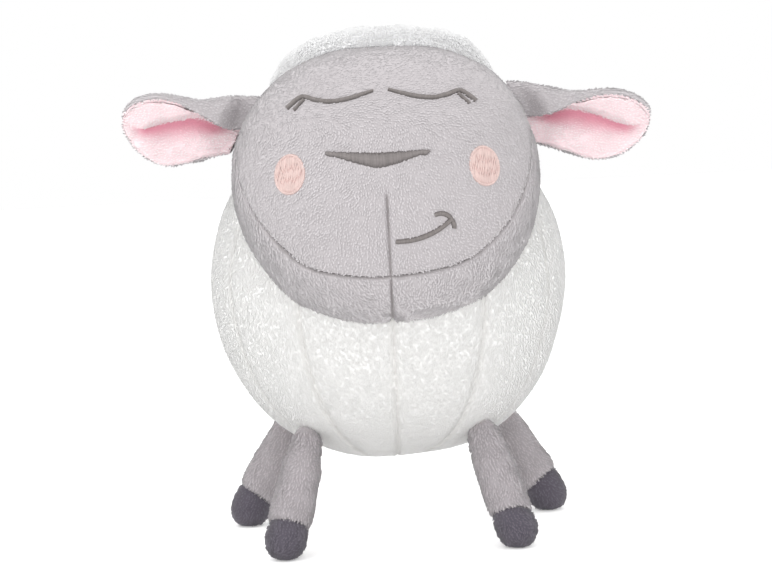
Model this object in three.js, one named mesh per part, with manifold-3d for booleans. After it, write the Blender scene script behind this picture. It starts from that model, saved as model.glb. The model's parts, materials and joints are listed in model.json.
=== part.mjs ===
// A plush sheep night light: a stuffed ball on four legs, with a removable light unit in a pocket at the back.
// Millimetres. +Z is up and the face looks along -Y. The ball's group stands over the floor and holds the
// head, the legs and the light unit as groups of their own, each in its own frame. At the end the whole is
// moved so that its origin is on the floor, below the middle of its box.
import * as THREE from "three";
import { mergeVertices } from "three/addons/utils/BufferGeometryUtils.js";
import Module from "manifold-3d";

const wasm = await Module();
wasm.setup();

const DEGREE = Math.PI / 180;
const { lerp, smoothstep } = THREE.MathUtils;

// Clearances
const SOFT_GAP = 0.3; // between sewn or stuffed pieces that touch
const FIT_GAP = 0.3; // between hard pieces that rest on each other
const SLIDE_GAP = 0.5; // round pieces that slide or turn

// Ball
const BODY_RADIUS = 80; // over the pile, at the waist
const BODY_HALF_HEIGHT = 80;
const BELLY_CLEARANCE = 34; // floor to belly
const COVER_THICKNESS = 3.5; // plush cloth with its pile
const GORES = 12;
const GORE_DIP = 1.2; // how far each seam draws in

// Head
const HEAD_HALF_WIDTH = 67.5;
const HEAD_HALF_HEIGHT = 61;
const HEAD_HALF_DEPTH = 57;
const HEAD_SINK = 18; // how far the head's middle lies inside the ball's surface
const HEAD_BEARING = 43.4 * DEGREE; // from the ball's middle, above straight ahead
const FACE_TILT = 16 * DEGREE; // the face looks up by this much
const PROFILE_POWER = 2.6; // of the superellipse from the side: a flattened face
const CROWN_POWER = 2.5; // from the front: a broad crown
const JAW_POWER = 2; // and a rounder jaw
const HEAD_COVER = 3; // short-pile cloth
const CHIN_PITCH = 32.5 * DEGREE; // the chin seam drops towards the front
const CHIN_DIP = 1.2; // how far the chin seam draws in

// Wool cap
const WOOL_THICKNESS = 10.5;
const WOOL_GAP = 0.6;
const WOOL_TILT = 38 * DEGREE; // the wool's edge drops towards the back
const WOOL_HEIGHT = 41.5; // from the head's middle to the plane of the wool's edge
const WOOL_EDGE_POWER = 6; // how tightly the wool rounds off at its edge

// Ears
const EAR_LENGTH = 49;
const EAR_HEIGHT = 31;
const EAR_BACK = 2.6; // grey back layer
const EAR_LINING = 1.4; // pink front layer
const LINING_GAP = 0.5;
const EAR_ROOT_BACK = 4; // behind the head's middle, square to the face
const EAR_ROOT_RISE = 34; // above the head's middle, along the face
const EAR_SWEEP = 7 * DEGREE; // the ears point slightly forward of straight sideways
const EAR_BEAD = 2.2; // radius of the sewn root that the ear turns on
const EAR_BEAD_LENGTH = 12;
const EAR_BEAD_FORWARD = 1.5;
const EAR_PINCH = 0.3; // the fold is pressed to this share of its depth where it is sewn in
const EAR_PINCH_SHARE = 0.2; // share of the ear's length over which it opens out again
const EAR_OPENS_AT = 0.72; // share of the length from which the cloth lies open
const EAR_TIP = 0.02; // width left at the very tip, as a share of the ear's height

// Legs: angles place each hip on the ball, and the leg is as long as it needs to reach the floor
const LEG_RADIUS = 9.3;
const HOOF_RADIUS = 9.9;
const HOOF_LENGTH = 16;
const HIP_RADIUS = 6;
const HIP_STANDOFF = 3.4;
const FLAT_CUT = 0.5; // how deep each hoof is flattened by the floor
const FRONT_HIP_AZIMUTH = 50 * DEGREE; // from straight ahead
const REAR_HIP_AZIMUTH = 56 * DEGREE; // from straight behind
const FRONT_HIP_POLAR = 40 * DEGREE; // from straight down
const REAR_HIP_POLAR = 44 * DEGREE;
const FRONT_SPLAY = 15 * DEGREE;
const FRONT_LEAN = 30 * DEGREE; // forwards
const REAR_SPLAY = 25 * DEGREE;
const REAR_LEAN = 9 * DEGREE;

// Stitched features, on the face: x across, and height along the tilted face from the head's middle
const STITCH_THICKNESS = 0.9;
const NOSE_HALF_WIDTH = 21.5;
const NOSE_TOP = 2.8;
const NOSE_DROP = 7.2;
const NOSE_BEND_X = 13; // where its rounded side runs into its lower edge
const NOSE_BEND_DROP = 4;
const NOSE_SIDE_DROP = 2;
const CHEEK_X = 40.3;
const CHEEK_HEIGHT = -3.6;
const CHEEK_HALF_WIDTH = 6.4;
const CHEEK_HALF_HEIGHT = 8.5;
const EYE_INNER_X = 3.2;
const EYE_OUTER_X = 36.5;
const EYE_HEIGHT = 28.6;
const EYE_SAG = 3.8;
const LASH_LENGTH = 5;
const OUTER_LASH_SLOPE = 43 * DEGREE;
const INNER_LASH_SLOPE = 34 * DEGREE;
const LINE_WIDTH = 2;
const MOUTH_START_X = 4;
const MOUTH_END_X = 27;
const MOUTH_HEIGHT = -34;
const MOUTH_RISE = 8.4;
const MOUTH_CURL = 2.4; // how late along its length the smile turns up
const DIMPLE_HOOK = [[-4.3, 3], [-1.8, 2.2], [0.2, 0], [1.1, -3.2]]; // from the smile's end

// Battery bay
const CELL_COUNT = 3;
const CELL_RADIUS = 5.25; // AAA
const CELL_LENGTH = 44.5; // with its nub
const CELL_NUB_RADIUS = 1.9;
const CELL_NUB_HEIGHT = 1;
const CELL_CLEARANCE = 0.35;
const CELL_DOOR_GAP = 0.6;
const SPRING_LENGTH = 5;
const SPRING_TURNS = 3;
const SPRING_WIRE = 0.35;
const SPRING_BASE = 0.72; // its widest turn, as a share of the cell's radius
const SPRING_TIP = 0.32; // and its narrowest
const CONTACT_THICKNESS = 0.5;
const CONTACT_HEIGHT = 8;
const CONTACT_WIDTH = 8.4; // for one cell
const TRAY_WALL = 1.6;
const DOOR_BEYOND = 8.5; // the door runs on past the cells to its screw
const DOOR_GAP = 0.45;
const DOOR_CORNER = 4;

// Screws
const SCREW_HEAD_RADIUS = 2.6;
const SCREW_HEAD_HEIGHT = 1.8;
const SCREW_SHANK_RADIUS = 1.2;
const SCREW_LENGTH = 10;
const DOOR_SCREW_LENGTH = 6;
const CROSS_SLOT_WIDTH = 0.7;
const CROSS_SLOT_DEPTH = 0.4;
const SCREW_SINK = 2; // head below the cover's surface
const BOSS_RADIUS = 4;
const PAD_HEIGHT = 0.8;
const PAD_FLOOR = 1.4; // of the door's pad, under the screw's head
const BOSS_ANGLES = [30, 150, 270].map((angle) => angle * DEGREE);

// Light unit: round about the Y axis through the ball's middle. Depths are measured from that middle, towards
// the back, and are stacked forwards from the rear cover, which follows the ball.
const UNIT_RECESS = 1; // the rear cover lies this much under the ball's surface
const UNIT_RIM = 2.6; // left between the door's corner and the unit's edge
const SHELL_WALL = 2.4; // rear cover and battery door
const BOARD_BEHIND = 2.5; // between the board and the battery tray
const BOARD_THICKNESS = 1.6;
const BOARD_CLEARANCE = 1.2; // round the board
const LEDGE_WIDTH = 3.1; // that the board rests on
const LEDGE_THICKNESS = 2.5;
const SEAM_BEHIND_BOARD = 2.4; // where the rear cover's skirt meets the housing
const SPIGOT_DEPTH = 4;
const SPIGOT_WALL = 1.5;
const HOUSING_LIP = 5; // the housing's front edge, in front of the board
const DOME_HEIGHT = 35;
const DOME_WALL = 1.6;
const LED_RADIUS = 2.5;
const LED_HEIGHT = 5.6;
const LED_CIRCLE = 15;
const LED_COUNT = 4;
const LENS_ANGLE = 40 * DEGREE; // the facet point on each lens
const LEAD_RADIUS = 0.7;

// Controls
const CONTROL_Z = -7;
const BUTTON_RADIUS = 5.6;
const BUTTON_PROUD = 1.6;
const BUTTON_TRAVEL = 1.5;
const BUTTON_BRIM = 1;
const BUTTON_ROUND = 1;
const BUTTON_DISH = 0.5;
const BUTTON_STEM_RADIUS = 1.8;
const TACT_SIZE = 6;
const TACT_HEIGHT = 3.5;
const KNOB_WIDTH = 4;
const KNOB_HEIGHT = 5;
const KNOB_PROUD = 1.4;
const KNOB_TRAVEL = 4;
const SWITCH_WIDTH = 6;
const SWITCH_HEIGHT = 12;
const SWITCH_DEPTH = 5;

// Pocket and hem
const HEM_WIDTH = 4;
const HEM_PROUD = 0.8;
const LINER_THICKNESS = 1;
const LINER_SHORT = 1; // the liner's rear edge lies this far inside the cover

// Facets
const BODY_AROUND = 48;
const BODY_RINGS = 16;
const CORE_AROUND = 20;
const CORE_RINGS = 10;
const HEAD_AROUND = 32;
const HEAD_RINGS = 16;
const WOOL_RINGS = 6;
const LEG_SIDES = 12;
const ROUND_SIDES = 32;
const SMALL_SIDES = 14;
const LID_STEPS = 8;
const SMILE_STEPS = 6;
const DOME_STEPS = 6;
const SPRING_STEPS = 7; // in a turn
const LEAD_STEPS = 12;

// Places that follow from the sizes
const BODY_Z = BELLY_CLEARANCE + BODY_HALF_HEIGHT;
const HEAD_REACH = BODY_RADIUS - HEAD_SINK;
const HEAD_PLACE = new THREE.Vector3(0, -Math.cos(HEAD_BEARING), Math.sin(HEAD_BEARING));
HEAD_PLACE.multiplyScalar(HEAD_REACH);
const CELL_PITCH = 2 * (CELL_RADIUS + CELL_CLEARANCE);
const BAY_HALF_WIDTH = (CELL_COUNT * CELL_PITCH) / 2;
const BAY_HALF_LENGTH = (CELL_LENGTH + SPRING_LENGTH) / 2 + CONTACT_THICKNESS + FIT_GAP;
const DOOR_HALF_WIDTH = BAY_HALF_WIDTH + TRAY_WALL / 2;
const DOOR_BOTTOM = -BAY_HALF_LENGTH - TRAY_WALL / 2;
const DOOR_TOP = BAY_HALF_LENGTH + DOOR_BEYOND;
const DOOR_SCREW_Z = BAY_HALF_LENGTH + TRAY_WALL + BOSS_RADIUS * 0.75;
const DOOR_REACH = Math.hypot(DOOR_HALF_WIDTH - DOOR_CORNER, DOOR_TOP - DOOR_CORNER) + DOOR_CORNER + DOOR_GAP;
const UNIT_RADIUS = DOOR_REACH + UNIT_RIM;
const POCKET_RADIUS = UNIT_RADIUS + SLIDE_GAP;
const SPIGOT_RADIUS = UNIT_RADIUS - SHELL_WALL - FIT_GAP;
const BOARD_RADIUS = SPIGOT_RADIUS - SPIGOT_WALL - BOARD_CLEARANCE;
const BOSS_CIRCLE = SPIGOT_RADIUS - FIT_GAP - BOSS_RADIUS;
const CONTROL_X = (DOOR_HALF_WIDTH + UNIT_RADIUS) / 2;
const SHELL_RADIUS = BODY_RADIUS - UNIT_RECESS;
const FACET_SAG = 2 * SHELL_RADIUS * (1 - Math.cos(Math.PI / ROUND_SIDES)); // of its facets inside a ball
const OUTER_CELL_REACH = Math.hypot(BAY_HALF_WIDTH - CELL_RADIUS / 2, (CELL_LENGTH + SPRING_LENGTH) / 2);
const COVER_INSIDE = SHELL_RADIUS - SHELL_WALL;
const DOOR_INSIDE = Math.sqrt(COVER_INSIDE ** 2 - OUTER_CELL_REACH ** 2); // over the cells' ends
const CELL_DEPTH = DOOR_INSIDE - CELL_DOOR_GAP - CELL_RADIUS; // of the cells' axes
const BAY_FLOOR = CELL_DEPTH - CELL_RADIUS - CELL_CLEARANCE;
const BOARD_BACK = BAY_FLOOR - TRAY_WALL - BOARD_BEHIND;
const BOARD_FRONT = BOARD_BACK - BOARD_THICKNESS;
const SKIRT_FRONT = BOARD_BACK + SEAM_BEHIND_BOARD;
const HOUSING_FRONT = BOARD_FRONT - HOUSING_LIP;
const DOME_FRONT = HOUSING_FRONT - DOME_HEIGHT;
const POCKET_BOTTOM = DOME_FRONT - SLIDE_GAP;
const BEYOND = BODY_RADIUS * 2; // a cut that runs out of the back ends here

// Colours, as seen in the photograph
const finish = (color, roughness, metalness) => new THREE.MeshStandardMaterial({ color, roughness, metalness });
const cloth = (color) => finish(color, 0.95, 0);
const plastic = (color, roughness = 0.45) => finish(color, roughness, 0);
const metal = (color) => finish(color, 0.3, 1);
const WHITE_PLUSH = cloth(0xf0efec);
const WOOL = cloth(0xf4f3f3);
const GREY_PLUSH = cloth(0xc3bfc0);
const LEG_PLUSH = cloth(0xaea8ab);
const HOOF_PLUSH = cloth(0x655f68);
const PINK_PLUSH = cloth(0xf8dbe0);
const PINK_THREAD = cloth(0xf0d0cb);
const GREY_THREAD = cloth(0x8f8888);
const WADDING = cloth(0xfafaf8);
const BINDING = cloth(0xe4e2df);
const WHITE_ABS = plastic(0xe8e7e4);
const GREY_ABS = plastic(0xb9b4b8);
const PINK_RUBBER = plastic(0xf0c4c4, 0.6);
const DIFFUSER = plastic(0xf7f5ee, 0.35);
const BOARD_GREEN = plastic(0x2f6b45, 0.5);
const LED_LENS = plastic(0xfff3d0, 0.2);
const BLACK_PLASTIC = plastic(0x262628, 0.5);
const CELL_JACKET = plastic(0x4f7f9a, 0.35);
const SPRING_STEEL = metal(0xc8c8ca);
const ZINC_STEEL = metal(0xb4b4b6);
const RED_LEAD = plastic(0xb02a2a, 0.5);
const BLACK_LEAD = plastic(0x222224, 0.5);

// Geometry to solid and back
function solidFrom(geometry) {
  const bare = geometry.clone();
  for (const name of Object.keys(bare.attributes)) {
    if (name !== "position") bare.deleteAttribute(name);
  }
  const merged = mergeVertices(bare, 1e-4);
  const mesh = new wasm.Mesh({
    numProp: 3,
    vertProperties: merged.attributes.position.array,
    triVerts: new Uint32Array(merged.index.array),
  });
  const solid = new wasm.Manifold(mesh);
  if (solid.volume() < 0) throw new Error("a profile runs the wrong way round");
  return solid;
}

function geometryFrom(solid) {
  const { numProp, vertProperties, triVerts } = solid.getMesh();
  const points = new Float32Array((vertProperties.length / numProp) * 3);
  for (let i = 0; i < points.length / 3; i++) {
    points.set(vertProperties.subarray(i * numProp, i * numProp + 3), i * 3);
  }
  const geometry = new THREE.BufferGeometry();
  geometry.setAttribute("position", new THREE.BufferAttribute(points, 3));
  geometry.setIndex(new THREE.BufferAttribute(triVerts, 1));
  geometry.computeVertexNormals();
  return geometry;
}

// Groups and nodes
function addGroup(parent, place) {
  const group = new THREE.Group();
  group.position.copy(place);
  parent.add(group);
  return group;
}

function add(group, name, solid, material, place = new THREE.Vector3()) {
  const mesh = new THREE.Mesh(geometryFrom(solid), material);
  mesh.name = name;
  mesh.position.copy(place);
  group.add(mesh);
  return mesh;
}

// A closed surface with a point at each end and rings between; at(u, ring) gives a point, u going from 0 to 1.
function ringSolid(around, rings, at) {
  const points = [at(0, 0)];
  for (let r = 1; r < rings; r++) {
    for (let k = 0; k < around; k++) points.push(at(k / around, r));
  }
  points.push(at(0, rings));
  const last = points.length - 1;
  const index = (r, k) => 1 + (r - 1) * around + (k % around);
  const faces = [];
  for (let k = 0; k < around; k++) {
    faces.push(0, index(1, k), index(1, k + 1));
    faces.push(last, index(rings - 1, k + 1), index(rings - 1, k));
    for (let r = 1; r < rings - 1; r++) {
      faces.push(index(r, k), index(r + 1, k), index(r + 1, k + 1));
      faces.push(index(r, k), index(r + 1, k + 1), index(r, k + 1));
    }
  }
  const geometry = new THREE.BufferGeometry().setFromPoints(points);
  geometry.setIndex(faces);
  return solidFrom(geometry);
}

// A lathed solid about its own Y axis. Its profile holds [radius, distance along the axis] pairs.
function lathed(profile, sides = ROUND_SIDES) {
  const points = profile.map(([radius, distance]) => new THREE.Vector2(radius, distance));
  if (profile[0][0] > 0) points.push(points[0].clone());
  return solidFrom(new THREE.LatheGeometry(points, sides));
}

// A straight prism along +Y, from one depth to another, over an outline in x and z.
function prism(shape, from, to) {
  const options = { depth: to - from, bevelEnabled: false, curveSegments: 6 };
  const geometry = new THREE.ExtrudeGeometry(shape, options);
  geometry.rotateX(Math.PI / 2); // the outline's y becomes z, and the extrusion runs along -Y
  return solidFrom(geometry.translate(0, to, 0));
}

function disc(x, z, radius, from, to, sides = SMALL_SIDES) {
  const geometry = new THREE.CylinderGeometry(radius, radius, to - from, sides);
  return solidFrom(geometry.translate(x, (from + to) / 2, z));
}

function block(width, depth, height, x = 0, y = 0, z = 0) {
  return solidFrom(new THREE.BoxGeometry(width, depth, height).translate(x, y, z));
}

// A wire or lead of round section along a smooth route
function wire(route, radius, steps, sides) {
  const section = new THREE.Shape();
  section.absarc(0, 0, radius, 0, 2 * Math.PI, false);
  const extrudePath = new THREE.CatmullRomCurve3(route, false, "centripetal");
  return solidFrom(new THREE.ExtrudeGeometry(section, { steps, curveSegments: sides, extrudePath }));
}

function roundedOutline(left, right, bottom, top, corner) {
  const shape = new THREE.Shape();
  shape.moveTo(left + corner, bottom);
  shape.lineTo(right - corner, bottom);
  shape.absarc(right - corner, bottom + corner, corner, -Math.PI / 2, 0, false);
  shape.absarc(right - corner, top - corner, corner, 0, Math.PI / 2, false);
  shape.absarc(left + corner, top - corner, corner, Math.PI / 2, Math.PI, false);
  shape.absarc(left + corner, bottom + corner, corner, Math.PI, 1.5 * Math.PI, false);
  return shape;
}

// Ball: a spheroid whose seams draw in between the gores
function bodySolid(offset, dip, around, rings, middle = new THREE.Vector3()) {
  const radius = BODY_RADIUS + offset;
  const halfHeight = BODY_HALF_HEIGHT + offset;
  return ringSolid(around, rings, (u, ring) => {
    const latitude = (0.5 - ring / rings) * Math.PI;
    const swell = Math.abs(Math.sin(u * GORES * Math.PI));
    const drawn = dip * (1 - swell) * Math.cos(latitude);
    const longitude = u * 2 * Math.PI - Math.PI / 2; // a seam runs down the front
    const across = (radius - drawn) * Math.cos(latitude);
    const height = halfHeight * Math.sin(latitude);
    return new THREE.Vector3(across * Math.cos(longitude), across * Math.sin(longitude), height).add(middle);
  });
}

// A round bore about the light unit's axis, from a depth out through the back
const unitBore = (radius, from) => disc(0, 0, radius, from, BEYOND, ROUND_SIDES);

function addBall(ball, hips) {
  const hemOutside = POCKET_RADIUS + HEM_WIDTH;
  const linerOutside = POCKET_RADIUS + LINER_THICKNESS;
  const coverInside = bodySolid(-COVER_THICKNESS, 0, CORE_AROUND, CORE_RINGS);
  let cover = bodySolid(0, GORE_DIP, BODY_AROUND, BODY_RINGS).subtract(coverInside);
  cover = cover.subtract(unitBore(hemOutside + SOFT_GAP, 0));
  let core = bodySolid(-COVER_THICKNESS - SOFT_GAP, 0, CORE_AROUND, CORE_RINGS);
  core = core.subtract(unitBore(linerOutside + SOFT_GAP, POCKET_BOTTOM - LINER_THICKNESS - SOFT_GAP));
  for (const { place } of hips) {
    const socket = new THREE.SphereGeometry(HIP_RADIUS + SLIDE_GAP, LEG_SIDES, LEG_SIDES);
    const socketSolid = solidFrom(socket.translate(place.x, place.y, place.z));
    cover = cover.subtract(socketSolid);
    core = core.subtract(socketSolid);
  }
  add(ball, "body_cover", cover, WHITE_PLUSH);
  add(ball, "body_wadding", core, WADDING);

  const hemRing = unitBore(hemOutside, 0).subtract(unitBore(POCKET_RADIUS, 0));
  const hemUnder = bodySolid(-COVER_THICKNESS + SOFT_GAP, 0, BODY_AROUND, BODY_RINGS);
  const hemOver = bodySolid(HEM_PROUD, 0, BODY_AROUND, BODY_RINGS);
  add(ball, "opening_hem", hemRing.intersect(hemOver).subtract(hemUnder), BINDING);

  const linerRear = Math.sqrt((BODY_RADIUS - COVER_THICKNESS) ** 2 - linerOutside ** 2) - LINER_SHORT;
  const liner = lathed([
    [0, POCKET_BOTTOM - LINER_THICKNESS],
    [linerOutside, POCKET_BOTTOM - LINER_THICKNESS],
    [linerOutside, linerRear],
    [POCKET_RADIUS, linerRear],
    [POCKET_RADIUS, POCKET_BOTTOM],
    [0, POCKET_BOTTOM],
  ]);
  add(ball, "pocket_liner", liner, BINDING);
}

// Head, about its own middle: how far its surface lies along a direction, for a skin at some offset outside it
const faceNormal = new THREE.Vector3(0, -Math.cos(FACE_TILT), Math.sin(FACE_TILT));
const faceUp = new THREE.Vector3(0, Math.sin(FACE_TILT), Math.cos(FACE_TILT));

function headReach(direction, offset) {
  const across = Math.abs(direction.x) / (HEAD_HALF_WIDTH + offset);
  const along = direction.dot(faceUp);
  const up = Math.abs(along) / (HEAD_HALF_HEIGHT + offset);
  const out = Math.abs(direction.dot(faceNormal)) / (HEAD_HALF_DEPTH + offset);
  const power = along > 0 ? CROWN_POWER : JAW_POWER;
  const outline = (across ** power + up ** power) ** (PROFILE_POWER / power);
  return (outline + out ** PROFILE_POWER) ** (-1 / PROFILE_POWER);
}

const headPoint = (direction, offset) => direction.clone().multiplyScalar(headReach(direction, offset));

// A direction about a pole that leans forwards: its angle is measured from the pole, its turn from the front.
function poleDirection(poleTilt, angle, turn) {
  const pole = new THREE.Vector3(0, -Math.sin(poleTilt), Math.cos(poleTilt));
  const front = new THREE.Vector3(0, -Math.cos(poleTilt), -Math.sin(poleTilt));
  return pole
    .multiplyScalar(Math.cos(angle))
    .addScaledVector(front, Math.sin(angle) * Math.cos(turn))
    .addScaledVector(new THREE.Vector3(1, 0, 0), Math.sin(angle) * Math.sin(turn));
}

function headSolid(offset, dip, around, rings) {
  return ringSolid(around, rings, (u, ring) => {
    const direction = poleDirection(CHIN_PITCH, (ring / rings) * Math.PI, u * 2 * Math.PI);
    const onSeam = ring * 2 === rings ? dip : 0;
    return headPoint(direction, offset - onSeam);
  });
}

// The ball as it lies in the head's frame: what sits on the ball is cut by this
const ballSkin = bodySolid(SOFT_GAP, 0, BODY_AROUND, BODY_RINGS, HEAD_PLACE.clone().negate());

function addHead(head) {
  const inside = headSolid(-HEAD_COVER, 0, CORE_AROUND, CORE_RINGS);
  const cover = headSolid(0, CHIN_DIP, HEAD_AROUND, HEAD_RINGS).subtract(inside).subtract(ballSkin);
  const aboveChin = [0, -Math.sin(CHIN_PITCH), Math.cos(CHIN_PITCH)];
  const belowChin = aboveChin.map((part) => -part);
  add(head, "face_panel", cover.trimByPlane(aboveChin, SOFT_GAP / 2), GREY_PLUSH);
  add(head, "chin_panel", cover.trimByPlane(belowChin, SOFT_GAP / 2), GREY_PLUSH);
  const core = headSolid(-HEAD_COVER - SOFT_GAP, 0, CORE_AROUND, CORE_RINGS);
  add(head, "head_wadding", core.subtract(ballSkin), WADDING);
}

function addWool(head) {
  const pole = new THREE.Vector3(0, Math.sin(WOOL_TILT), Math.cos(WOOL_TILT));
  const edgeAngle = (turn) => {
    let low = 0;
    let high = Math.PI / 2;
    while (high - low > 1e-6) {
      const middle = (low + high) / 2;
      const direction = poleDirection(-WOOL_TILT, middle, turn);
      if (direction.dot(pole) * headReach(direction, 0) > WOOL_HEIGHT) low = middle;
      else high = middle;
    }
    return low;
  };
  const wool = ringSolid(HEAD_AROUND, WOOL_RINGS * 2, (u, ring) => {
    const turn = u * 2 * Math.PI;
    const share = ring <= WOOL_RINGS ? ring / WOOL_RINGS : 2 - ring / WOOL_RINGS;
    const direction = poleDirection(-WOOL_TILT, share * edgeAngle(turn), turn);
    const rounded = Math.sqrt(1 - share ** WOOL_EDGE_POWER);
    return headPoint(direction, ring < WOOL_RINGS ? WOOL_GAP + WOOL_THICKNESS * rounded : WOOL_GAP);
  });
  add(head, "wool_cap", wool.subtract(ballSkin), WOOL);
}

// A stroke of even width along a centre line of 2-D points, as a closed outline
function strokeOutline(points, width) {
  const left = [];
  const right = [];
  points.forEach((point, i) => {
    const before = points[Math.max(0, i - 1)];
    const after = points[Math.min(points.length - 1, i + 1)];
    const across = new THREE.Vector2(before.y - after.y, after.x - before.x).normalize();
    left.push(point.clone().addScaledVector(across, width / 2));
    right.push(point.clone().addScaledVector(across, -width / 2));
  });
  return new THREE.Shape([...right, ...left.reverse()]);
}

// Outlines on the face become a thin patch that follows the head's skin
const stitchTop = headSolid(SOFT_GAP + STITCH_THICKNESS, 0, HEAD_AROUND, HEAD_RINGS);
const stitchSkin = stitchTop.subtract(headSolid(SOFT_GAP, 0, HEAD_AROUND, HEAD_RINGS));

function stitched(shapes) {
  const faceFrame = new THREE.Matrix4().makeBasis(new THREE.Vector3(1, 0, 0), faceUp, faceNormal);
  const prisms = shapes.map((shape) => {
    const options = { depth: HEAD_HALF_DEPTH * 2, bevelEnabled: false, curveSegments: 8 };
    return solidFrom(new THREE.ExtrudeGeometry(shape, options).applyMatrix4(faceFrame));
  });
  return prisms.reduce((whole, next) => whole.add(next)).intersect(stitchSkin);
}

function noseShape() {
  const bend = NOSE_TOP - NOSE_BEND_DROP;
  const side = NOSE_TOP - NOSE_SIDE_DROP;
  const shape = new THREE.Shape();
  shape.moveTo(-NOSE_HALF_WIDTH, NOSE_TOP);
  shape.quadraticCurveTo(-NOSE_HALF_WIDTH, side, -NOSE_BEND_X, bend);
  shape.quadraticCurveTo(0, NOSE_TOP - 2 * NOSE_DROP + NOSE_BEND_DROP, NOSE_BEND_X, bend);
  shape.quadraticCurveTo(NOSE_HALF_WIDTH, side, NOSE_HALF_WIDTH, NOSE_TOP);
  return shape;
}

function cheekShape(side) {
  const shape = new THREE.Shape();
  shape.absellipse(side * CHEEK_X, CHEEK_HEIGHT, CHEEK_HALF_WIDTH, CHEEK_HALF_HEIGHT, 0, 2 * Math.PI, false);
  return shape;
}

// A closed eyelid that sags in the middle, with two lashes at its outer end
function eyeShapes(side) {
  const lid = Array.from({ length: LID_STEPS + 1 }, (_, i) => {
    const share = i / LID_STEPS;
    const x = lerp(EYE_INNER_X, EYE_OUTER_X, share);
    return new THREE.Vector2(x, EYE_HEIGHT - EYE_SAG * Math.sin(Math.PI * share));
  });
  const lash = (start, slope) => {
    const reach = new THREE.Vector2(Math.cos(slope), -Math.sin(slope)).multiplyScalar(LASH_LENGTH);
    return [start, reach.add(start)];
  };
  const strokes = [lid, lash(lid[LID_STEPS], OUTER_LASH_SLOPE), lash(lid[LID_STEPS - 1], INNER_LASH_SLOPE)];
  return strokes.map((stroke) => {
    const placed = stroke.map((point) => new THREE.Vector2(side * point.x, point.y));
    return strokeOutline(side > 0 ? placed : placed.reverse(), LINE_WIDTH);
  });
}

// A smile to one side, with a small hook across its end
function mouthShapes() {
  const smile = Array.from({ length: SMILE_STEPS + 1 }, (_, i) => {
    const share = i / SMILE_STEPS;
    const height = MOUTH_HEIGHT + MOUTH_RISE * share ** MOUTH_CURL;
    return new THREE.Vector2(lerp(MOUTH_START_X, MOUTH_END_X, share), height);
  });
  const hook = DIMPLE_HOOK.map(([x, y]) => new THREE.Vector2(x, y).add(smile[SMILE_STEPS]));
  return [strokeOutline(smile, LINE_WIDTH), strokeOutline(hook, LINE_WIDTH)];
}

function addFace(head) {
  add(head, "nose_stitching", stitched([noseShape()]), GREY_THREAD);
  for (const [name, side] of [["left", -1], ["right", 1]]) {
    add(head, `cheek_${name}`, stitched([cheekShape(side)]), PINK_THREAD);
    add(head, `eye_${name}`, stitched(eyeShapes(side)), GREY_THREAD);
  }
  add(head, "mouth_stitching", stitched(mouthShapes()), GREY_THREAD);
}

// Ears: a leaf of cloth, rolled over itself at the root and open towards the front. Its cross-sections run
// from its lower edge over the crest to its free upper edge, as [forward, rise] in shares of the ear's height.
const EAR_ROOT_SECTION = [
  [0.16, -0.31], [0.08, -0.36], [0.02, -0.24], [0, -0.08], [0.01, 0.1],
  [0.05, 0.27], [0.14, 0.36], [0.24, 0.28], [0.28, 0.13], [0.29, -0.05],
];
const EAR_OPEN_SECTION = [
  [0.19, -0.62], [0.11, -0.54], [0.05, -0.41], [0.01, -0.27], [0, -0.12],
  [0.01, 0.03], [0.03, 0.17], [0.08, 0.29], [0.16, 0.36], [0.26, 0.34],
];
const EAR_STATIONS = [0, 0.08, 0.17, 0.28, 0.4, 0.52, 0.64, 0.75, 0.84, 0.91, 0.955, 0.985]; // of the length
const EAR_ACROSS = EAR_ROOT_SECTION.length - 1;

function earSection(u, j) {
  const open = smoothstep(u, 0, EAR_OPENS_AT);
  const pinch = lerp(EAR_PINCH, 1, smoothstep(u, 0, EAR_PINCH_SHARE));
  const beyond = Math.max(0, (u - EAR_OPENS_AT) / (1 - EAR_OPENS_AT));
  const width = EAR_HEIGHT * (Math.sqrt(1 - beyond ** 2) + EAR_TIP);
  const [rootForward, rootRise] = EAR_ROOT_SECTION[j];
  const [openForward, openRise] = EAR_OPEN_SECTION[j];
  const forward = lerp(rootForward, openForward, open) * width * pinch;
  return new THREE.Vector2(forward, lerp(rootRise, openRise, open) * width);
}

// A point of the ear: u from root to tip, j along the cross-section, skin out from the cloth's inner face
function earPoint(side, slope, u, j, skin) {
  const before = earSection(u, Math.max(0, j - 1));
  const after = earSection(u, Math.min(EAR_ACROSS, j + 1));
  const along = after.sub(before).normalize();
  const here = earSection(u, j);
  const forward = here.x - along.y * skin;
  const rise = here.y + along.x * skin;
  const out = u * EAR_LENGTH + (1 - u) * rise * slope; // the root runs along the head's side
  return new THREE.Vector3(side * out, EAR_BEAD_FORWARD - forward, rise);
}

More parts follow.
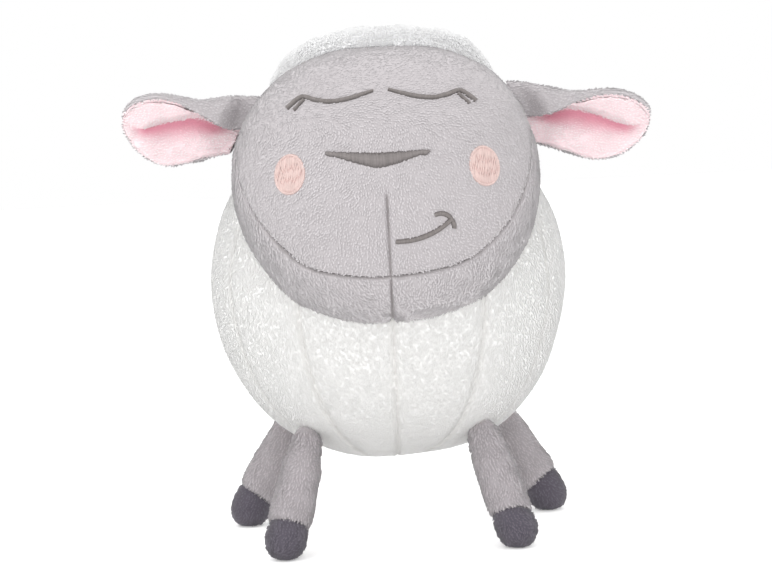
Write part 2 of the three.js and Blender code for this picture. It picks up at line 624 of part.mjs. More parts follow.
// One layer of the ear between two skins, over some of the stations along it and some of the points across it
function earLayer(side, slope, inner, outer, stations, first, last) {
  const rows = stations.length;
  const columns = last - first + 1;
  const across = Array.from({ length: columns }, (_, column) => first + column);
  const skin = (distance) => stations.flatMap((u) => across.map((j) => earPoint(side, slope, u, j, distance)));
  const back = (i, j) => i * columns + j;
  const front = (i, j) => rows * columns + back(i, j);
  const faces = [];
  const quad = (a, b, c, d) => (side > 0 ? faces.push(a, b, c, a, c, d) : faces.push(a, c, b, a, d, c));
  for (let i = 0; i < rows - 1; i++) {
    for (let j = 0; j < columns - 1; j++) {
      quad(back(i, j), back(i, j + 1), back(i + 1, j + 1), back(i + 1, j));
      quad(front(i, j), front(i + 1, j), front(i + 1, j + 1), front(i, j + 1));
    }
    quad(back(i, 0), back(i + 1, 0), front(i + 1, 0), front(i, 0));
    quad(back(i + 1, columns - 1), back(i, columns - 1), front(i, columns - 1), front(i + 1, columns - 1));
  }
  for (let j = 0; j < columns - 1; j++) {
    quad(back(0, j + 1), back(0, j), front(0, j), front(0, j + 1));
    quad(back(rows - 1, j), back(rows - 1, j + 1), front(rows - 1, j + 1), front(rows - 1, j));
  }
  const geometry = new THREE.BufferGeometry().setFromPoints([...skin(outer), ...skin(inner)]);
  geometry.setIndex(faces);
  return solidFrom(geometry);
}

// Where an ear is sewn in, on the head's side, and how the head's side leans there
function earRoot(side) {
  const onSide = (rise) => {
    const direction = new THREE.Vector3(side * HEAD_HALF_WIDTH, 0, 0)
      .addScaledVector(faceUp, rise)
      .addScaledVector(faceNormal, -EAR_ROOT_BACK);
    return headPoint(direction.normalize(), EAR_BEAD + SOFT_GAP);
  };
  const upper = onSide(EAR_ROOT_RISE + EAR_HEIGHT / 3);
  const lower = onSide(EAR_ROOT_RISE - EAR_HEIGHT / 3);
  const place = onSide(EAR_ROOT_RISE);
  place.y -= EAR_BEAD_FORWARD;
  return { place, slope: (side * (upper.x - lower.x)) / (upper.z - lower.z) };
}

function addEars(head) {
  for (const [name, side] of [["left", -1], ["right", 1]]) {
    const { place, slope } = earRoot(side);
    const ear = addGroup(head, place);
    ear.rotation.z = -side * EAR_SWEEP;
    const bead = new THREE.CapsuleGeometry(EAR_BEAD, EAR_BEAD_LENGTH, 2, LEG_SIDES);
    const rootLine = new THREE.Vector3(side * slope, 0, 1).normalize();
    bead.applyQuaternion(new THREE.Quaternion().setFromUnitVectors(new THREE.Vector3(0, 1, 0), rootLine));
    const leaf = earLayer(side, slope, 0, EAR_BACK, EAR_STATIONS, 0, EAR_ACROSS);
    add(ear, `ear_${name}`, leaf.add(solidFrom(bead)), GREY_PLUSH);
    const lined = EAR_STATIONS.slice(2, -1);
    const lining = earLayer(side, slope, -LINING_GAP - EAR_LINING, -LINING_GAP, lined, 1, EAR_ACROSS - 1);
    add(ear, `ear_lining_${name}`, lining, PINK_PLUSH);
  }
}

// Legs: each hangs from its hip, and its group's Y axis runs down the leg
// Its profile, as shares of the way from the hip's radius to the full one, and of the way to the ankle
const LEG_SWELL = [[0.4, 0.15], [0.91, 0.4], [1, 0.75]];
const ANKLE_DRAW = 0.2; // how far the leg draws in again at the ankle
const CROWN_ANGLES = [80, 55, 30].map((angle) => angle * DEGREE);
const TOE_ANGLES = [20, 45, 68].map((angle) => angle * DEGREE);

function legPlan(name, side, end, azimuth, polar, splay, lean) {
  const x = side * Math.sin(polar) * Math.sin(azimuth);
  const y = end * Math.sin(polar) * Math.cos(azimuth);
  const direction = new THREE.Vector3(x, y, -Math.cos(polar));
  const flat = Math.hypot(direction.x, direction.y) / BODY_RADIUS;
  const reach = 1 / Math.hypot(flat, direction.z / BODY_HALF_HEIGHT);
  const place = direction.multiplyScalar(reach + HIP_STANDOFF);
  const axis = new THREE.Vector3(side * Math.tan(splay), -Math.tan(lean), -1).normalize();
  const toeMiddle = (BODY_Z + place.z - HOOF_RADIUS + FLAT_CUT) / -axis.z;
  return { name, place, axis, length: toeMiddle + HOOF_RADIUS };
}

const LEGS = [["left", -1], ["right", 1]].flatMap(([name, side]) => [
  legPlan(`front_${name}`, side, -1, FRONT_HIP_AZIMUTH, FRONT_HIP_POLAR, FRONT_SPLAY, FRONT_LEAN),
  legPlan(`rear_${name}`, side, 1, REAR_HIP_AZIMUTH, REAR_HIP_POLAR, REAR_SPLAY, REAR_LEAN),
]);

function legSolid(length) {
  const ankle = length - HOOF_LENGTH;
  const profile = [
    [0, -HIP_RADIUS],
    ...CROWN_ANGLES.map((angle) => [HIP_RADIUS * Math.cos(angle), -HIP_RADIUS * Math.sin(angle)]),
    [HIP_RADIUS, 0],
    ...LEG_SWELL.map(([out, down]) => [lerp(HIP_RADIUS, LEG_RADIUS, out), ankle * down]),
    [LEG_RADIUS - ANKLE_DRAW, ankle],
    [0, ankle],
  ];
  return lathed(profile, LEG_SIDES);
}

function hoofSolid(length) {
  const start = length - HOOF_LENGTH + SOFT_GAP;
  const middle = length - HOOF_RADIUS;
  const profile = [
    [0, start],
    [LEG_RADIUS - ANKLE_DRAW, start],
    [HOOF_RADIUS, middle],
    ...TOE_ANGLES.map((angle) => [HOOF_RADIUS * Math.cos(angle), middle + HOOF_RADIUS * Math.sin(angle)]),
    [0, length],
  ];
  return lathed(profile, LEG_SIDES);
}

function addLegs(ball) {
  for (const { name, place, axis, length } of LEGS) {
    const leg = addGroup(ball, place);
    leg.quaternion.setFromUnitVectors(new THREE.Vector3(0, 1, 0), axis);
    const up = new THREE.Vector3(0, 0, 1).applyQuaternion(leg.quaternion.clone().invert());
    const floor = -BODY_Z - place.z;
    add(leg, `leg_${name}`, legSolid(length), LEG_PLUSH);
    add(leg, `hoof_${name}`, hoofSolid(length).trimByPlane(up.toArray(), floor), HOOF_PLUSH);
  }
}

// Light unit
function ballOf(radius) {
  const geometry = new THREE.SphereGeometry(radius, ROUND_SIDES, ROUND_SIDES / 2);
  return solidFrom(geometry.rotateX(Math.PI / 2));
}

const capOuter = ballOf(SHELL_RADIUS);
const capMiddle = ballOf(SHELL_RADIUS - SHELL_WALL / 2);
const capInner = ballOf(COVER_INSIDE);
const capDepth = (x, z, radius = SHELL_RADIUS) => Math.sqrt(radius ** 2 - x ** 2 - z ** 2);
const onBossCircle = (angle) => [BOSS_CIRCLE * Math.cos(angle), BOSS_CIRCLE * Math.sin(angle)];
const bossPlaces = BOSS_ANGLES.map(onBossCircle);
const screwSeat = (x, z) => capDepth(x, z) - SCREW_SINK - SCREW_HEAD_HEIGHT;
const doorPad = capDepth(0, DOOR_SCREW_Z) - SHELL_WALL - PAD_HEIGHT; // inner end of the door's screw pad

// A cross-head screw whose head is seated at its own origin and whose shank points forwards
function screwSolid(length) {
  const width = 2 * SCREW_HEAD_RADIUS;
  const slot = (x, z) => block(x, 2 * CROSS_SLOT_DEPTH, z, 0, SCREW_HEAD_HEIGHT, 0);
  const head = disc(0, 0, SCREW_HEAD_RADIUS, 0, SCREW_HEAD_HEIGHT);
  const shank = disc(0, 0, SCREW_SHANK_RADIUS, -length, SCREW_HEAD_HEIGHT / 2);
  return head.subtract(slot(width, CROSS_SLOT_WIDTH)).subtract(slot(CROSS_SLOT_WIDTH, width)).add(shank);
}

function doorOutline(grow) {
  const side = DOOR_HALF_WIDTH + grow;
  return roundedOutline(-side, side, DOOR_BOTTOM - grow, DOOR_TOP + grow, DOOR_CORNER);
}

function addRearCover(unit) {
  const front = SKIRT_FRONT + SPIGOT_DEPTH;
  const outside = disc(0, 0, UNIT_RADIUS, SKIRT_FRONT, BEYOND, ROUND_SIDES * 2).intersect(capOuter);
  const hollow = disc(0, 0, UNIT_RADIUS - SHELL_WALL, 0, BEYOND, ROUND_SIDES * 2).intersect(capInner);
  let cover = outside.subtract(hollow);
  for (const [x, z] of bossPlaces) {
    cover = cover.add(disc(x, z, BOSS_RADIUS, front, BEYOND).intersect(capMiddle));
    cover = cover.subtract(disc(x, z, SCREW_HEAD_RADIUS + FIT_GAP, screwSeat(x, z) - FIT_GAP, BEYOND));
    cover = cover.subtract(disc(x, z, SCREW_SHANK_RADIUS + FIT_GAP, 0, BEYOND));
  }
  cover = cover.subtract(prism(doorOutline(DOOR_GAP), 0, BEYOND));
  cover = cover.subtract(disc(CONTROL_X, CONTROL_Z, BUTTON_RADIUS + SLIDE_GAP, 0, BEYOND, SMALL_SIDES * 2));
  const slotHeight = KNOB_HEIGHT + KNOB_TRAVEL + 2 * SLIDE_GAP;
  const slotMiddle = CONTROL_Z + KNOB_TRAVEL / 2;
  const slotWidth = KNOB_WIDTH + 2 * SLIDE_GAP;
  cover = cover.subtract(block(slotWidth, BEYOND, slotHeight, -CONTROL_X, BEYOND / 2, slotMiddle));
  add(unit, "rear_cover", cover, WHITE_ABS);
  bossPlaces.forEach(([x, z], i) => {
    const place = new THREE.Vector3(x, screwSeat(x, z), z);
    add(unit, `housing_screw_${i + 1}`, screwSolid(SCREW_LENGTH), ZINC_STEEL, place);
  });
}

function addHousing(unit) {
  const seam = SKIRT_FRONT - FIT_GAP;
  const inside = SPIGOT_RADIUS - SPIGOT_WALL;
  const ledge = BOARD_FRONT - FIT_GAP;
  const spigotEnd = SKIRT_FRONT + SPIGOT_DEPTH - FIT_GAP;
  let housing = lathed([
    [inside, HOUSING_FRONT],
    [UNIT_RADIUS, HOUSING_FRONT],
    [UNIT_RADIUS, seam],
    [SPIGOT_RADIUS, seam],
    [SPIGOT_RADIUS, spigotEnd],
    [inside, spigotEnd],
    [inside, ledge],
    [BOARD_RADIUS - LEDGE_WIDTH, ledge],
    [BOARD_RADIUS - LEDGE_WIDTH, ledge - LEDGE_THICKNESS],
    [inside, ledge - LEDGE_THICKNESS],
  ]);
  const insideOfWall = disc(0, 0, SPIGOT_RADIUS, BOARD_BACK, BEYOND, ROUND_SIDES);
  for (const [x, z] of bossPlaces) {
    const boss = disc(x, z, BOSS_RADIUS, BOARD_BACK + FIT_GAP, spigotEnd).intersect(insideOfWall);
    housing = housing.add(boss).subtract(disc(x, z, SCREW_SHANK_RADIUS + FIT_GAP, BOARD_BACK, BEYOND));
  }
  add(unit, "unit_housing", housing, WHITE_ABS);
}

function addDome(unit) {
  const rim = HOUSING_FRONT - FIT_GAP;
  const arc = (radius, height) =>
    Array.from({ length: DOME_STEPS + 1 }, (_, i) => {
      const angle = (i / DOME_STEPS) * (Math.PI / 2);
      return [radius * Math.sin(angle), rim - height * Math.cos(angle)];
    });
  const inner = arc(UNIT_RADIUS - DOME_WALL, DOME_HEIGHT - DOME_WALL).reverse();
  add(unit, "diffuser_dome", lathed([...arc(UNIT_RADIUS, DOME_HEIGHT), ...inner]), DIFFUSER);
}

function addBoard(unit) {
  add(unit, "led_board", disc(0, 0, BOARD_RADIUS, BOARD_FRONT, BOARD_BACK, ROUND_SIDES), BOARD_GREEN);
  const shoulder = LED_RADIUS - LED_HEIGHT;
  const profile = [
    [0, -LED_HEIGHT],
    [LED_RADIUS * Math.sin(LENS_ANGLE), shoulder - LED_RADIUS * Math.cos(LENS_ANGLE)],
    [LED_RADIUS, shoulder],
    [LED_RADIUS, 0],
    [0, 0],
  ];
  for (let i = 0; i < LED_COUNT; i++) {
    const angle = ((i + 0.5) / LED_COUNT) * 2 * Math.PI;
    const place = new THREE.Vector3(Math.cos(angle), 0, Math.sin(angle)).multiplyScalar(LED_CIRCLE);
    place.y = BOARD_FRONT - FIT_GAP;
    add(unit, `led_${i + 1}`, lathed(profile, SMALL_SIDES), LED_LENS, place);
  }
}

// Each single contact plate has a lead, out through the end of the tray and down to the board
const leadDepth = CELL_DEPTH - LEAD_RADIUS * 2;
const leadX = (end) => -end * CELL_PITCH;

function leadHole(end) {
  const radius = LEAD_RADIUS + FIT_GAP;
  const hole = new THREE.CylinderGeometry(radius, radius, 2 * TRAY_WALL + 2 * FIT_GAP, SMALL_SIDES);
  const z = end * (BAY_HALF_LENGTH + TRAY_WALL / 2);
  return solidFrom(hole.rotateX(Math.PI / 2).translate(leadX(end), leadDepth, z));
}

function addTray(unit) {
  const floor = BAY_FLOOR - TRAY_WALL;
  const walled = (start, wall) => {
    const width = 2 * (BAY_HALF_WIDTH + wall);
    return block(width, BEYOND, 2 * (BAY_HALF_LENGTH + wall), 0, start + BEYOND / 2, 0);
  };
  let tray = walled(floor, TRAY_WALL).add(disc(0, DOOR_SCREW_Z, BOSS_RADIUS, floor, BEYOND));
  tray = tray.intersect(ballOf(COVER_INSIDE - FIT_GAP));
  tray = tray.subtract(walled(BAY_FLOOR, 0));
  tray = tray.subtract(disc(0, DOOR_SCREW_Z, BOSS_RADIUS + FIT_GAP, doorPad - FIT_GAP, BEYOND));
  tray = tray.subtract(disc(0, DOOR_SCREW_Z, SCREW_SHANK_RADIUS + FIT_GAP, floor + TRAY_WALL, BEYOND));
  tray = tray.subtract(leadHole(-1)).subtract(leadHole(1));
  add(unit, "battery_tray", tray, WHITE_ABS);
}

// The cells lie head to tail, and a spring at each one's flat end pushes it against the plate at its nub
function addCells(unit) {
  const can = CELL_LENGTH - CELL_NUB_HEIGHT;
  const profile = [
    [0, 0],
    [CELL_RADIUS, 0],
    [CELL_RADIUS, can],
    [CELL_NUB_RADIUS, can],
    [CELL_NUB_RADIUS, CELL_LENGTH],
    [0, CELL_LENGTH],
  ];
  for (let i = 0; i < CELL_COUNT; i++) {
    const x = (i - (CELL_COUNT - 1) / 2) * CELL_PITCH;
    const up = i % 2 ? -1 : 1;
    const flatEnd = up * (SPRING_LENGTH - CELL_LENGTH) / 2;
    const place = new THREE.Vector3(x, CELL_DEPTH, flatEnd);
    const cell = add(unit, `battery_${i + 1}`, lathed(profile, SMALL_SIDES), CELL_JACKET, place);
    cell.rotation.x = (up * Math.PI) / 2;
    const plate = new THREE.Vector3(x, CELL_DEPTH, -up * (BAY_HALF_LENGTH - 2 * FIT_GAP - CONTACT_THICKNESS));
    const spring = add(unit, `contact_spring_${i + 1}`, springSolid(), SPRING_STEEL, plate);
    spring.rotation.x = (up * Math.PI) / 2;
  }
}

// A conical coil that stands on its contact plate
function springSolid() {
  const steps = SPRING_TURNS * SPRING_STEPS;
  const route = Array.from({ length: steps + 1 }, (_, i) => {
    const share = i / steps;
    const angle = share * SPRING_TURNS * 2 * Math.PI;
    const radius = CELL_RADIUS * lerp(SPRING_BASE, SPRING_TIP, share);
    const rise = lerp(SPRING_WIRE, SPRING_LENGTH - 2 * FIT_GAP - SPRING_WIRE, share);
    return new THREE.Vector3(radius * Math.cos(angle), rise, radius * Math.sin(angle));
  });
  return wire(route, SPRING_WIRE, steps, 3);
}

// In series: each end has a plate for a pair of cells and a plate for one
function addContacts(unit) {
  for (const [name, end] of [["lower", -1], ["upper", 1]]) {
    const z = end * (BAY_HALF_LENGTH - FIT_GAP - CONTACT_THICKNESS / 2);
    const pair = block(CELL_PITCH + CONTACT_WIDTH, CONTACT_HEIGHT, CONTACT_THICKNESS);
    const single = block(CONTACT_WIDTH, CONTACT_HEIGHT, CONTACT_THICKNESS);
    const pairPlace = new THREE.Vector3((end * CELL_PITCH) / 2, CELL_DEPTH, z);
    const singlePlace = new THREE.Vector3(leadX(end), CELL_DEPTH, z);
    add(unit, `contact_pair_${name}`, pair, SPRING_STEEL, pairPlace);
    add(unit, `contact_single_${name}`, single, SPRING_STEEL, singlePlace);
  }
}

function addLeads(unit) {
  const out = BAY_HALF_LENGTH + TRAY_WALL;
  const bent = out + LEAD_RADIUS * 3;
  const stops = [
    [leadDepth, BAY_HALF_LENGTH],
    [leadDepth, out],
    [leadDepth - LEAD_RADIUS * 1.5, out + LEAD_RADIUS * 2],
    [(leadDepth + BOARD_BACK) / 2, bent],
    [BOARD_BACK + LEAD_RADIUS * 2, bent],
    [BOARD_BACK + FIT_GAP, bent],
  ];
  for (const [name, end, material] of [["red", -1, RED_LEAD], ["black", 1, BLACK_LEAD]]) {
    const route = stops.map(([depth, z]) => new THREE.Vector3(leadX(end), depth, end * z));
    add(unit, `lead_${name}`, wire(route, LEAD_RADIUS, LEAD_STEPS, 4), material);
  }
}

function addDoor(unit) {
  const clear = SCREW_SHANK_RADIUS + FIT_GAP;
  let door = prism(doorOutline(0), 0, BEYOND).intersect(capOuter).subtract(capInner);
  door = door.add(disc(0, DOOR_SCREW_Z, BOSS_RADIUS, doorPad, BEYOND).intersect(capMiddle));
  door = door.subtract(disc(0, DOOR_SCREW_Z, SCREW_HEAD_RADIUS + FIT_GAP, doorPad + PAD_FLOOR, BEYOND));
  door = door.subtract(disc(0, DOOR_SCREW_Z, clear, 0, BEYOND));
  add(unit, "battery_door", door, WHITE_ABS);
  const seat = new THREE.Vector3(0, doorPad + PAD_FLOOR + FIT_GAP, DOOR_SCREW_Z);
  add(unit, "door_screw", screwSolid(DOOR_SCREW_LENGTH), ZINC_STEEL, seat);
}

function addButton(unit) {
  const tactPlace = new THREE.Vector3(CONTROL_X, BOARD_BACK + FIT_GAP + TACT_HEIGHT / 2, CONTROL_Z);
  add(unit, "tact_switch", block(TACT_SIZE, TACT_HEIGHT, TACT_SIZE), BLACK_PLASTIC, tactPlace);
  const crown = capDepth(CONTROL_X, CONTROL_Z) + BUTTON_PROUD;
  const brim = BUTTON_RADIUS + BUTTON_BRIM; // held behind the cover
  const brimEdge = Math.hypot(CONTROL_X, CONTROL_Z) + brim;
  const brimTop = capDepth(brimEdge, 0, COVER_INSIDE) - FIT_GAP - FACET_SAG;
  const stemEnd = tactPlace.y + TACT_HEIGHT / 2 + BUTTON_TRAVEL + FIT_GAP;
  const profile = [
    [0, stemEnd],
    [BUTTON_STEM_RADIUS, stemEnd],
    [BUTTON_STEM_RADIUS, brimTop - BUTTON_BRIM],
    [brim, brimTop - BUTTON_BRIM],
    [brim, brimTop],
    [BUTTON_RADIUS, brimTop],
    [BUTTON_RADIUS, crown - BUTTON_ROUND],
    [BUTTON_RADIUS - BUTTON_ROUND * 0.6, crown - BUTTON_ROUND * 0.3],
    [BUTTON_RADIUS - BUTTON_ROUND * 1.8, crown],
    [0, crown - BUTTON_DISH],
  ];
  const place = new THREE.Vector3(CONTROL_X, 0, CONTROL_Z);
  add(unit, "light_button", lathed(profile, SMALL_SIDES * 2), PINK_RUBBER, place);
}

function addModeSwitch(unit) {
  const slider = BOARD_BACK + FIT_GAP + SWITCH_DEPTH;
  const bodyPlace = new THREE.Vector3(-CONTROL_X, slider - SWITCH_DEPTH / 2, CONTROL_Z + KNOB_TRAVEL / 2);
  add(unit, "slide_switch_body", block(SWITCH_WIDTH, SWITCH_DEPTH, SWITCH_HEIGHT), BLACK_PLASTIC, bodyPlace);
  const start = slider + FIT_GAP;
  const end = capDepth(CONTROL_X, CONTROL_Z) + KNOB_PROUD;
  const place = new THREE.Vector3(-CONTROL_X, (start + end) / 2, CONTROL_Z);
  add(unit, "mode_switch", block(KNOB_WIDTH, end - start, KNOB_HEIGHT), GREY_ABS, place);
}

// The whole
const light = new THREE.Group();
const ball = addGroup(light, new THREE.Vector3(0, 0, BODY_Z));
const head = addGroup(ball, HEAD_PLACE);
const unit = addGroup(ball, new THREE.Vector3());
addBall(ball, LEGS);
addHead(head);
addWool(head);
addFace(head);
addEars(head);
addLegs(ball);
addRearCover(unit);
addHousing(unit);
addDome(unit);
addBoard(unit);
addTray(unit);
addCells(unit);
addContacts(unit);
addLeads(unit);
addDoor(unit);
addButton(unit);
addModeSwitch(unit);

const box = new THREE.Box3().setFromObject(light, true);
const middle = box.getCenter(new THREE.Vector3());
light.position.set(-middle.x, -middle.y, -box.min.z);

export default light;
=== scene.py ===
# %% [markdown]
# # A plush sheep night light in Blender
# The toy is a stuffed white ball with a grey head, four short legs and a light unit in a pocket at its back.
# Its frame, the exact solids and joints, is loaded first and never changes. Everything soft is then made again
# over that frame as sewn cloth with a real pile, and the hard pieces keep their solids and get their finishes.
# Sizes are in millimetres and are turned into Blender's metres where a mesh is made.

import json
import math

import bmesh
import bpy
import numpy as np
from mathutils import Matrix, Vector, noise
from mathutils.bvhtree import BVHTree
from mathutils.kdtree import KDTree


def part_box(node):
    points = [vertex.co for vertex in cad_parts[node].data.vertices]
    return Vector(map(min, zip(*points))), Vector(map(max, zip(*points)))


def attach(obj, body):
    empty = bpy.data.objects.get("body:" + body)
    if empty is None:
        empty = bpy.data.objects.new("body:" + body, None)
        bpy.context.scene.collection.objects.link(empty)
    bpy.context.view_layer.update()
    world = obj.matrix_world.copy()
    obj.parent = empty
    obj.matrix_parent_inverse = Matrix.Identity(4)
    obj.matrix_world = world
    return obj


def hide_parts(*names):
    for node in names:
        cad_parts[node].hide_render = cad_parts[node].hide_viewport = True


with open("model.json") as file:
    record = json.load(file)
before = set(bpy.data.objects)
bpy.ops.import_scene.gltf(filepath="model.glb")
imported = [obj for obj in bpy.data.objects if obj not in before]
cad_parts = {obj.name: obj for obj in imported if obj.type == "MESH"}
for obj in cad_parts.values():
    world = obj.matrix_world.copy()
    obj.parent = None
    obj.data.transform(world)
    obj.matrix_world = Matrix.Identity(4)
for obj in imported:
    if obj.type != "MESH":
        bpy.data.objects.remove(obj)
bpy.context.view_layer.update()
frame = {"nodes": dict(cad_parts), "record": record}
nodes = frame["nodes"]
scene = bpy.context.scene
MM = 0.001

# %% [markdown]
# ## Where the big shapes are
# The ball's middle and the head's middle give every soft piece its place. The ball's size comes from the
# frame's own boxes. The head sits on the ball's surface along a bearing, sunk in a little where it is sewn on,
# and its face is tilted back, as a designer would set it out.

# %% Driving sizes
ball_low, ball_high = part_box("body_cover")
BALL_RADIUS = (ball_high.z - ball_low.z) / 2 / MM
UNIT_RECESS = 1.0  # the light unit's back lies this much under the ball's surface
unit_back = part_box("battery_door")[1].y / MM
BALL_MIDDLE = np.array([0.0, unit_back - BALL_RADIUS + UNIT_RECESS, ball_low.z / MM + BALL_RADIUS])


def tilted(pitch):
    """The directions forwards and upwards of something that is tilted back by an angle."""
    forwards = np.array([0.0, -math.cos(pitch), math.sin(pitch)])
    return forwards, np.array([0.0, math.sin(pitch), math.cos(pitch)])


HEAD_SINK = 18.0
HEAD_BEARING = tilted(math.radians(43.4))[0]
HEAD_MIDDLE = BALL_MIDDLE + (BALL_RADIUS - HEAD_SINK) * HEAD_BEARING
ACROSS = np.array([1.0, 0.0, 0.0])
FACE_OUT, FACE_UP = tilted(math.radians(16.0))
print("ball radius", round(BALL_RADIUS, 2), "middle", BALL_MIDDLE.round(2), "head", HEAD_MIDDLE.round(2))


def new_object(name, data):
    """An object in the scene, at its origin."""
    made = bpy.data.objects.new(name, data)
    scene.collection.objects.link(made)
    return made


def unit(vectors):
    """Vectors at length 1, along the last axis."""
    return vectors / np.maximum(np.linalg.norm(vectors, axis=-1, keepdims=True), 1e-9)


def smooth(low, high, value):
    """0 below low, 1 above high, and a soft step between."""
    share = np.clip((value - low) / (high - low), 0, 1)
    return share * share * (3 - 2 * share)


def spline(points, share):
    """Points along a smooth curve through given points, at shares from 0 to 1."""
    place = np.clip(share, 0, 1) * (len(points) - 1)
    index = np.minimum(place.astype(int), len(points) - 2)
    t = (place - index)[:, None]
    padded = np.vstack([2 * points[0] - points[1], points, 2 * points[-1] - points[-2]])
    a, b, c, d = (padded[index + k] for k in range(4))
    return 0.5 * (2 * b + (c - a) * t + (2 * a - 5 * b + 4 * c - d) * t**2 + (3 * b - a - 3 * c + d) * t**3)


# %% [markdown]
# ## Camera
# The toy stands a little over a metre away and fills the picture, so the lens is long. The camera looks down
# on it by five degrees and is rolled by three, and a slight shift puts the toy where it is in the picture.

# %% Camera
CAMERA_DISTANCE = 1100.0
CAMERA_PITCH = math.radians(5.0)
CAMERA_ROLL = math.radians(3.0)
CAMERA_YAW = math.radians(-0.7)
CAMERA_LENS = 113.5
SENSOR_WIDTH = 36.0
CAMERA_SHIFT = (-0.0026, -0.0143)

aim = Matrix.Rotation(CAMERA_YAW, 3, "Z")
look = aim @ Vector((0, math.cos(CAMERA_PITCH), -math.sin(CAMERA_PITCH)))
rise = aim @ Vector((0, math.sin(CAMERA_PITCH), math.cos(CAMERA_PITCH)))
level = aim @ Vector((1, 0, 0))
right = level * math.cos(CAMERA_ROLL) - rise * math.sin(CAMERA_ROLL)
upward = level * math.sin(CAMERA_ROLL) + rise * math.cos(CAMERA_ROLL)
camera_data = bpy.data.cameras.new("camera")
camera_data.lens = CAMERA_LENS
camera_data.sensor_width = SENSOR_WIDTH
camera_data.shift_x, camera_data.shift_y = CAMERA_SHIFT
camera = new_object("camera", camera_data)
turn = Matrix((right, upward, -look)).transposed().to_4x4()
camera.matrix_world = Matrix.Translation(Vector(BALL_MIDDLE * MM) - look * CAMERA_DISTANCE * MM) @ turn
scene.camera = camera

# %% [markdown]
# ## Materials
# Each finish is a small node tree. One function writes a node with its settings and links, and another turns
# the hex colours that a designer writes down into the linear light that Blender works in. Sheen and roughness
# that are even over a piece stay on the shader's own sockets.

# %% Node helpers


def linear(colour):
    """An sRGB hex colour as linear RGBA."""
    channels = [int(colour[i : i + 2], 16) / 255 for i in (1, 3, 5)]
    return (*[c / 12.92 if c <= 0.04045 else ((c + 0.055) / 1.055) ** 2.4 for c in channels], 1.0)


def add(tree, kind, inputs=None, **settings):
    """One node with its settings. inputs gives its sockets a value, a node or a node's output."""
    node = tree.nodes.new(kind)
    for name, value in settings.items():
        setattr(node, name, value)
    for key, value in (inputs or {}).items():
        if isinstance(value, bpy.types.Node):
            value = value.outputs[0]
        if isinstance(value, bpy.types.NodeSocket):
            tree.links.new(value, node.inputs[key])
        else:
            node.inputs[key].default_value = value
    return node


def start_material(name, **values):
    """A material with one Principled shader. Even values go on the shader's own sockets."""
    made = bpy.data.materials.new(name)
    made.use_nodes = True
    shader = made.node_tree.nodes["Principled BSDF"]
    for key, value in values.items():
        shader.inputs[key.replace("_", " ")].default_value = value
    return made, made.node_tree, shader


# %% [markdown]
# ### Pile cloth
# Minky plush is polyester microfibre, knitted and then sheared to a millimetre or two. It has no gloss. Light
# sinks between the fibres, so roots look darker than tips, and where the nap lies another way the cloth looks a
# shade lighter or darker. The pile's own mesh carries how far a point is from its root and a random shade for
# each tuft, and broad noise adds the brushed patches.

# %% Plush finish
PATCH_SIZE = 9.0  # of the brushed patches
PATCH_RANGE = (0.3, 0.7)  # the part of the noise's range that the patches use
FIBRE_SIZE = 0.5  # of the knit's fibres between the tufts
FIBRE_DEPTH = 0.2
LIGHT_REACH = 1.5  # how far light travels between the fibres


def plush(name, root, tip, patchy=0.06, tufty=0.06, sheen=0.25, soak=0.0, crease=None, grain=0.2):
    """Pile cloth whose colour runs from a root painted in shade to the tip, with patches and tufts of slightly
    different shade, and painted shade in creases.
    """
    made, tree, shader = start_material(
        name,
        Roughness=0.92,
        Specular_IOR_Level=0.15,
        Sheen_Weight=sheen,
        Sheen_Roughness=0.6,
        Subsurface_Weight=soak,
        Subsurface_Radius=(1.0, 1.0, 1.0),
        Subsurface_Scale=LIGHT_REACH * MM,
    )
    place = add(tree, "ShaderNodeTexCoord").outputs["Object"]
    along, shade, deep = (
        add(tree, "ShaderNodeAttribute", attribute_name=held).outputs["Fac"]
        for held in ("tip", "shade", "deep")
    )
    # Painted shade: the root colour is darker than the tip's, for the shade between the fibres.
    ramp = add(tree, "ShaderNodeMix", {0: along, 6: linear(root), 7: linear(tip)}, data_type="RGBA").outputs[2]
    # Painted shade: the colour goes towards the crease colour where the mesh's seam and crease shade attribute
    # is high.
    ramp = add(tree, "ShaderNodeMix", {0: deep, 6: ramp, 7: linear(crease or tip)}, data_type="RGBA").outputs[2]
    patch = add(tree, "ShaderNodeTexNoise", {"Vector": place, "Scale": 1 / (PATCH_SIZE * MM), "Detail": 3.0})
    low, high = PATCH_RANGE
    span = {0: patch.outputs["Fac"], 1: low, 2: high, 3: 1 - patchy, 4: 1 + patchy}
    lift = add(tree, "ShaderNodeMapRange", span)
    tuft = add(tree, "ShaderNodeMapRange", {0: shade, 3: 1 - tufty, 4: 1 + tufty})
    both = add(tree, "ShaderNodeMath", {0: lift, 1: tuft}, operation="MULTIPLY")
    tint = add(tree, "ShaderNodeVectorMath", {0: ramp, "Scale": both}, operation="SCALE")
    tree.links.new(tint.outputs[0], shader.inputs["Base Color"])
    fibre = add(tree, "ShaderNodeTexNoise", {"Vector": place, "Scale": 1 / (FIBRE_SIZE * MM), "Detail": 2.0})
    relief = {"Height": fibre.outputs["Fac"], "Strength": grain, "Distance": FIBRE_DEPTH * MM}
    tree.links.new(add(tree, "ShaderNodeBump", relief).outputs[0], shader.inputs["Normal"])
    return made


# The crease colours are painted shade: for the cloth beside seams and, in pink, for the ear's crease.
WHITE_PLUSH = plush(
    "white_minky_plush", "#fbfaf7", "#fefdfa", 0.01, 0.01, sheen=0.2, soak=0.5, crease="#e2dfda", grain=0.1
)
GREY_PLUSH = plush("grey_minky_plush", "#bcb7b9", "#ccc8ca", 0.015, 0.05, crease="#8a8483")
LEG_PLUSH = plush("leg_minky_plush", "#aba5a8", "#c3bdc0")
HOOF_PLUSH = plush("hoof_minky_plush", "#5d5862", "#726d77", tufty=0.08)
PINK_PLUSH = plush("pink_minky_plush", "#ffe4e8", "#fff2f4", 0.02, 0.03, soak=0.2, crease="#e394a6")
FLEECE = plush("white_fleece", "#fdfdff", "#ffffff", 0.0, 0.0, sheen=0.5, soak=0.7, grain=0.1)

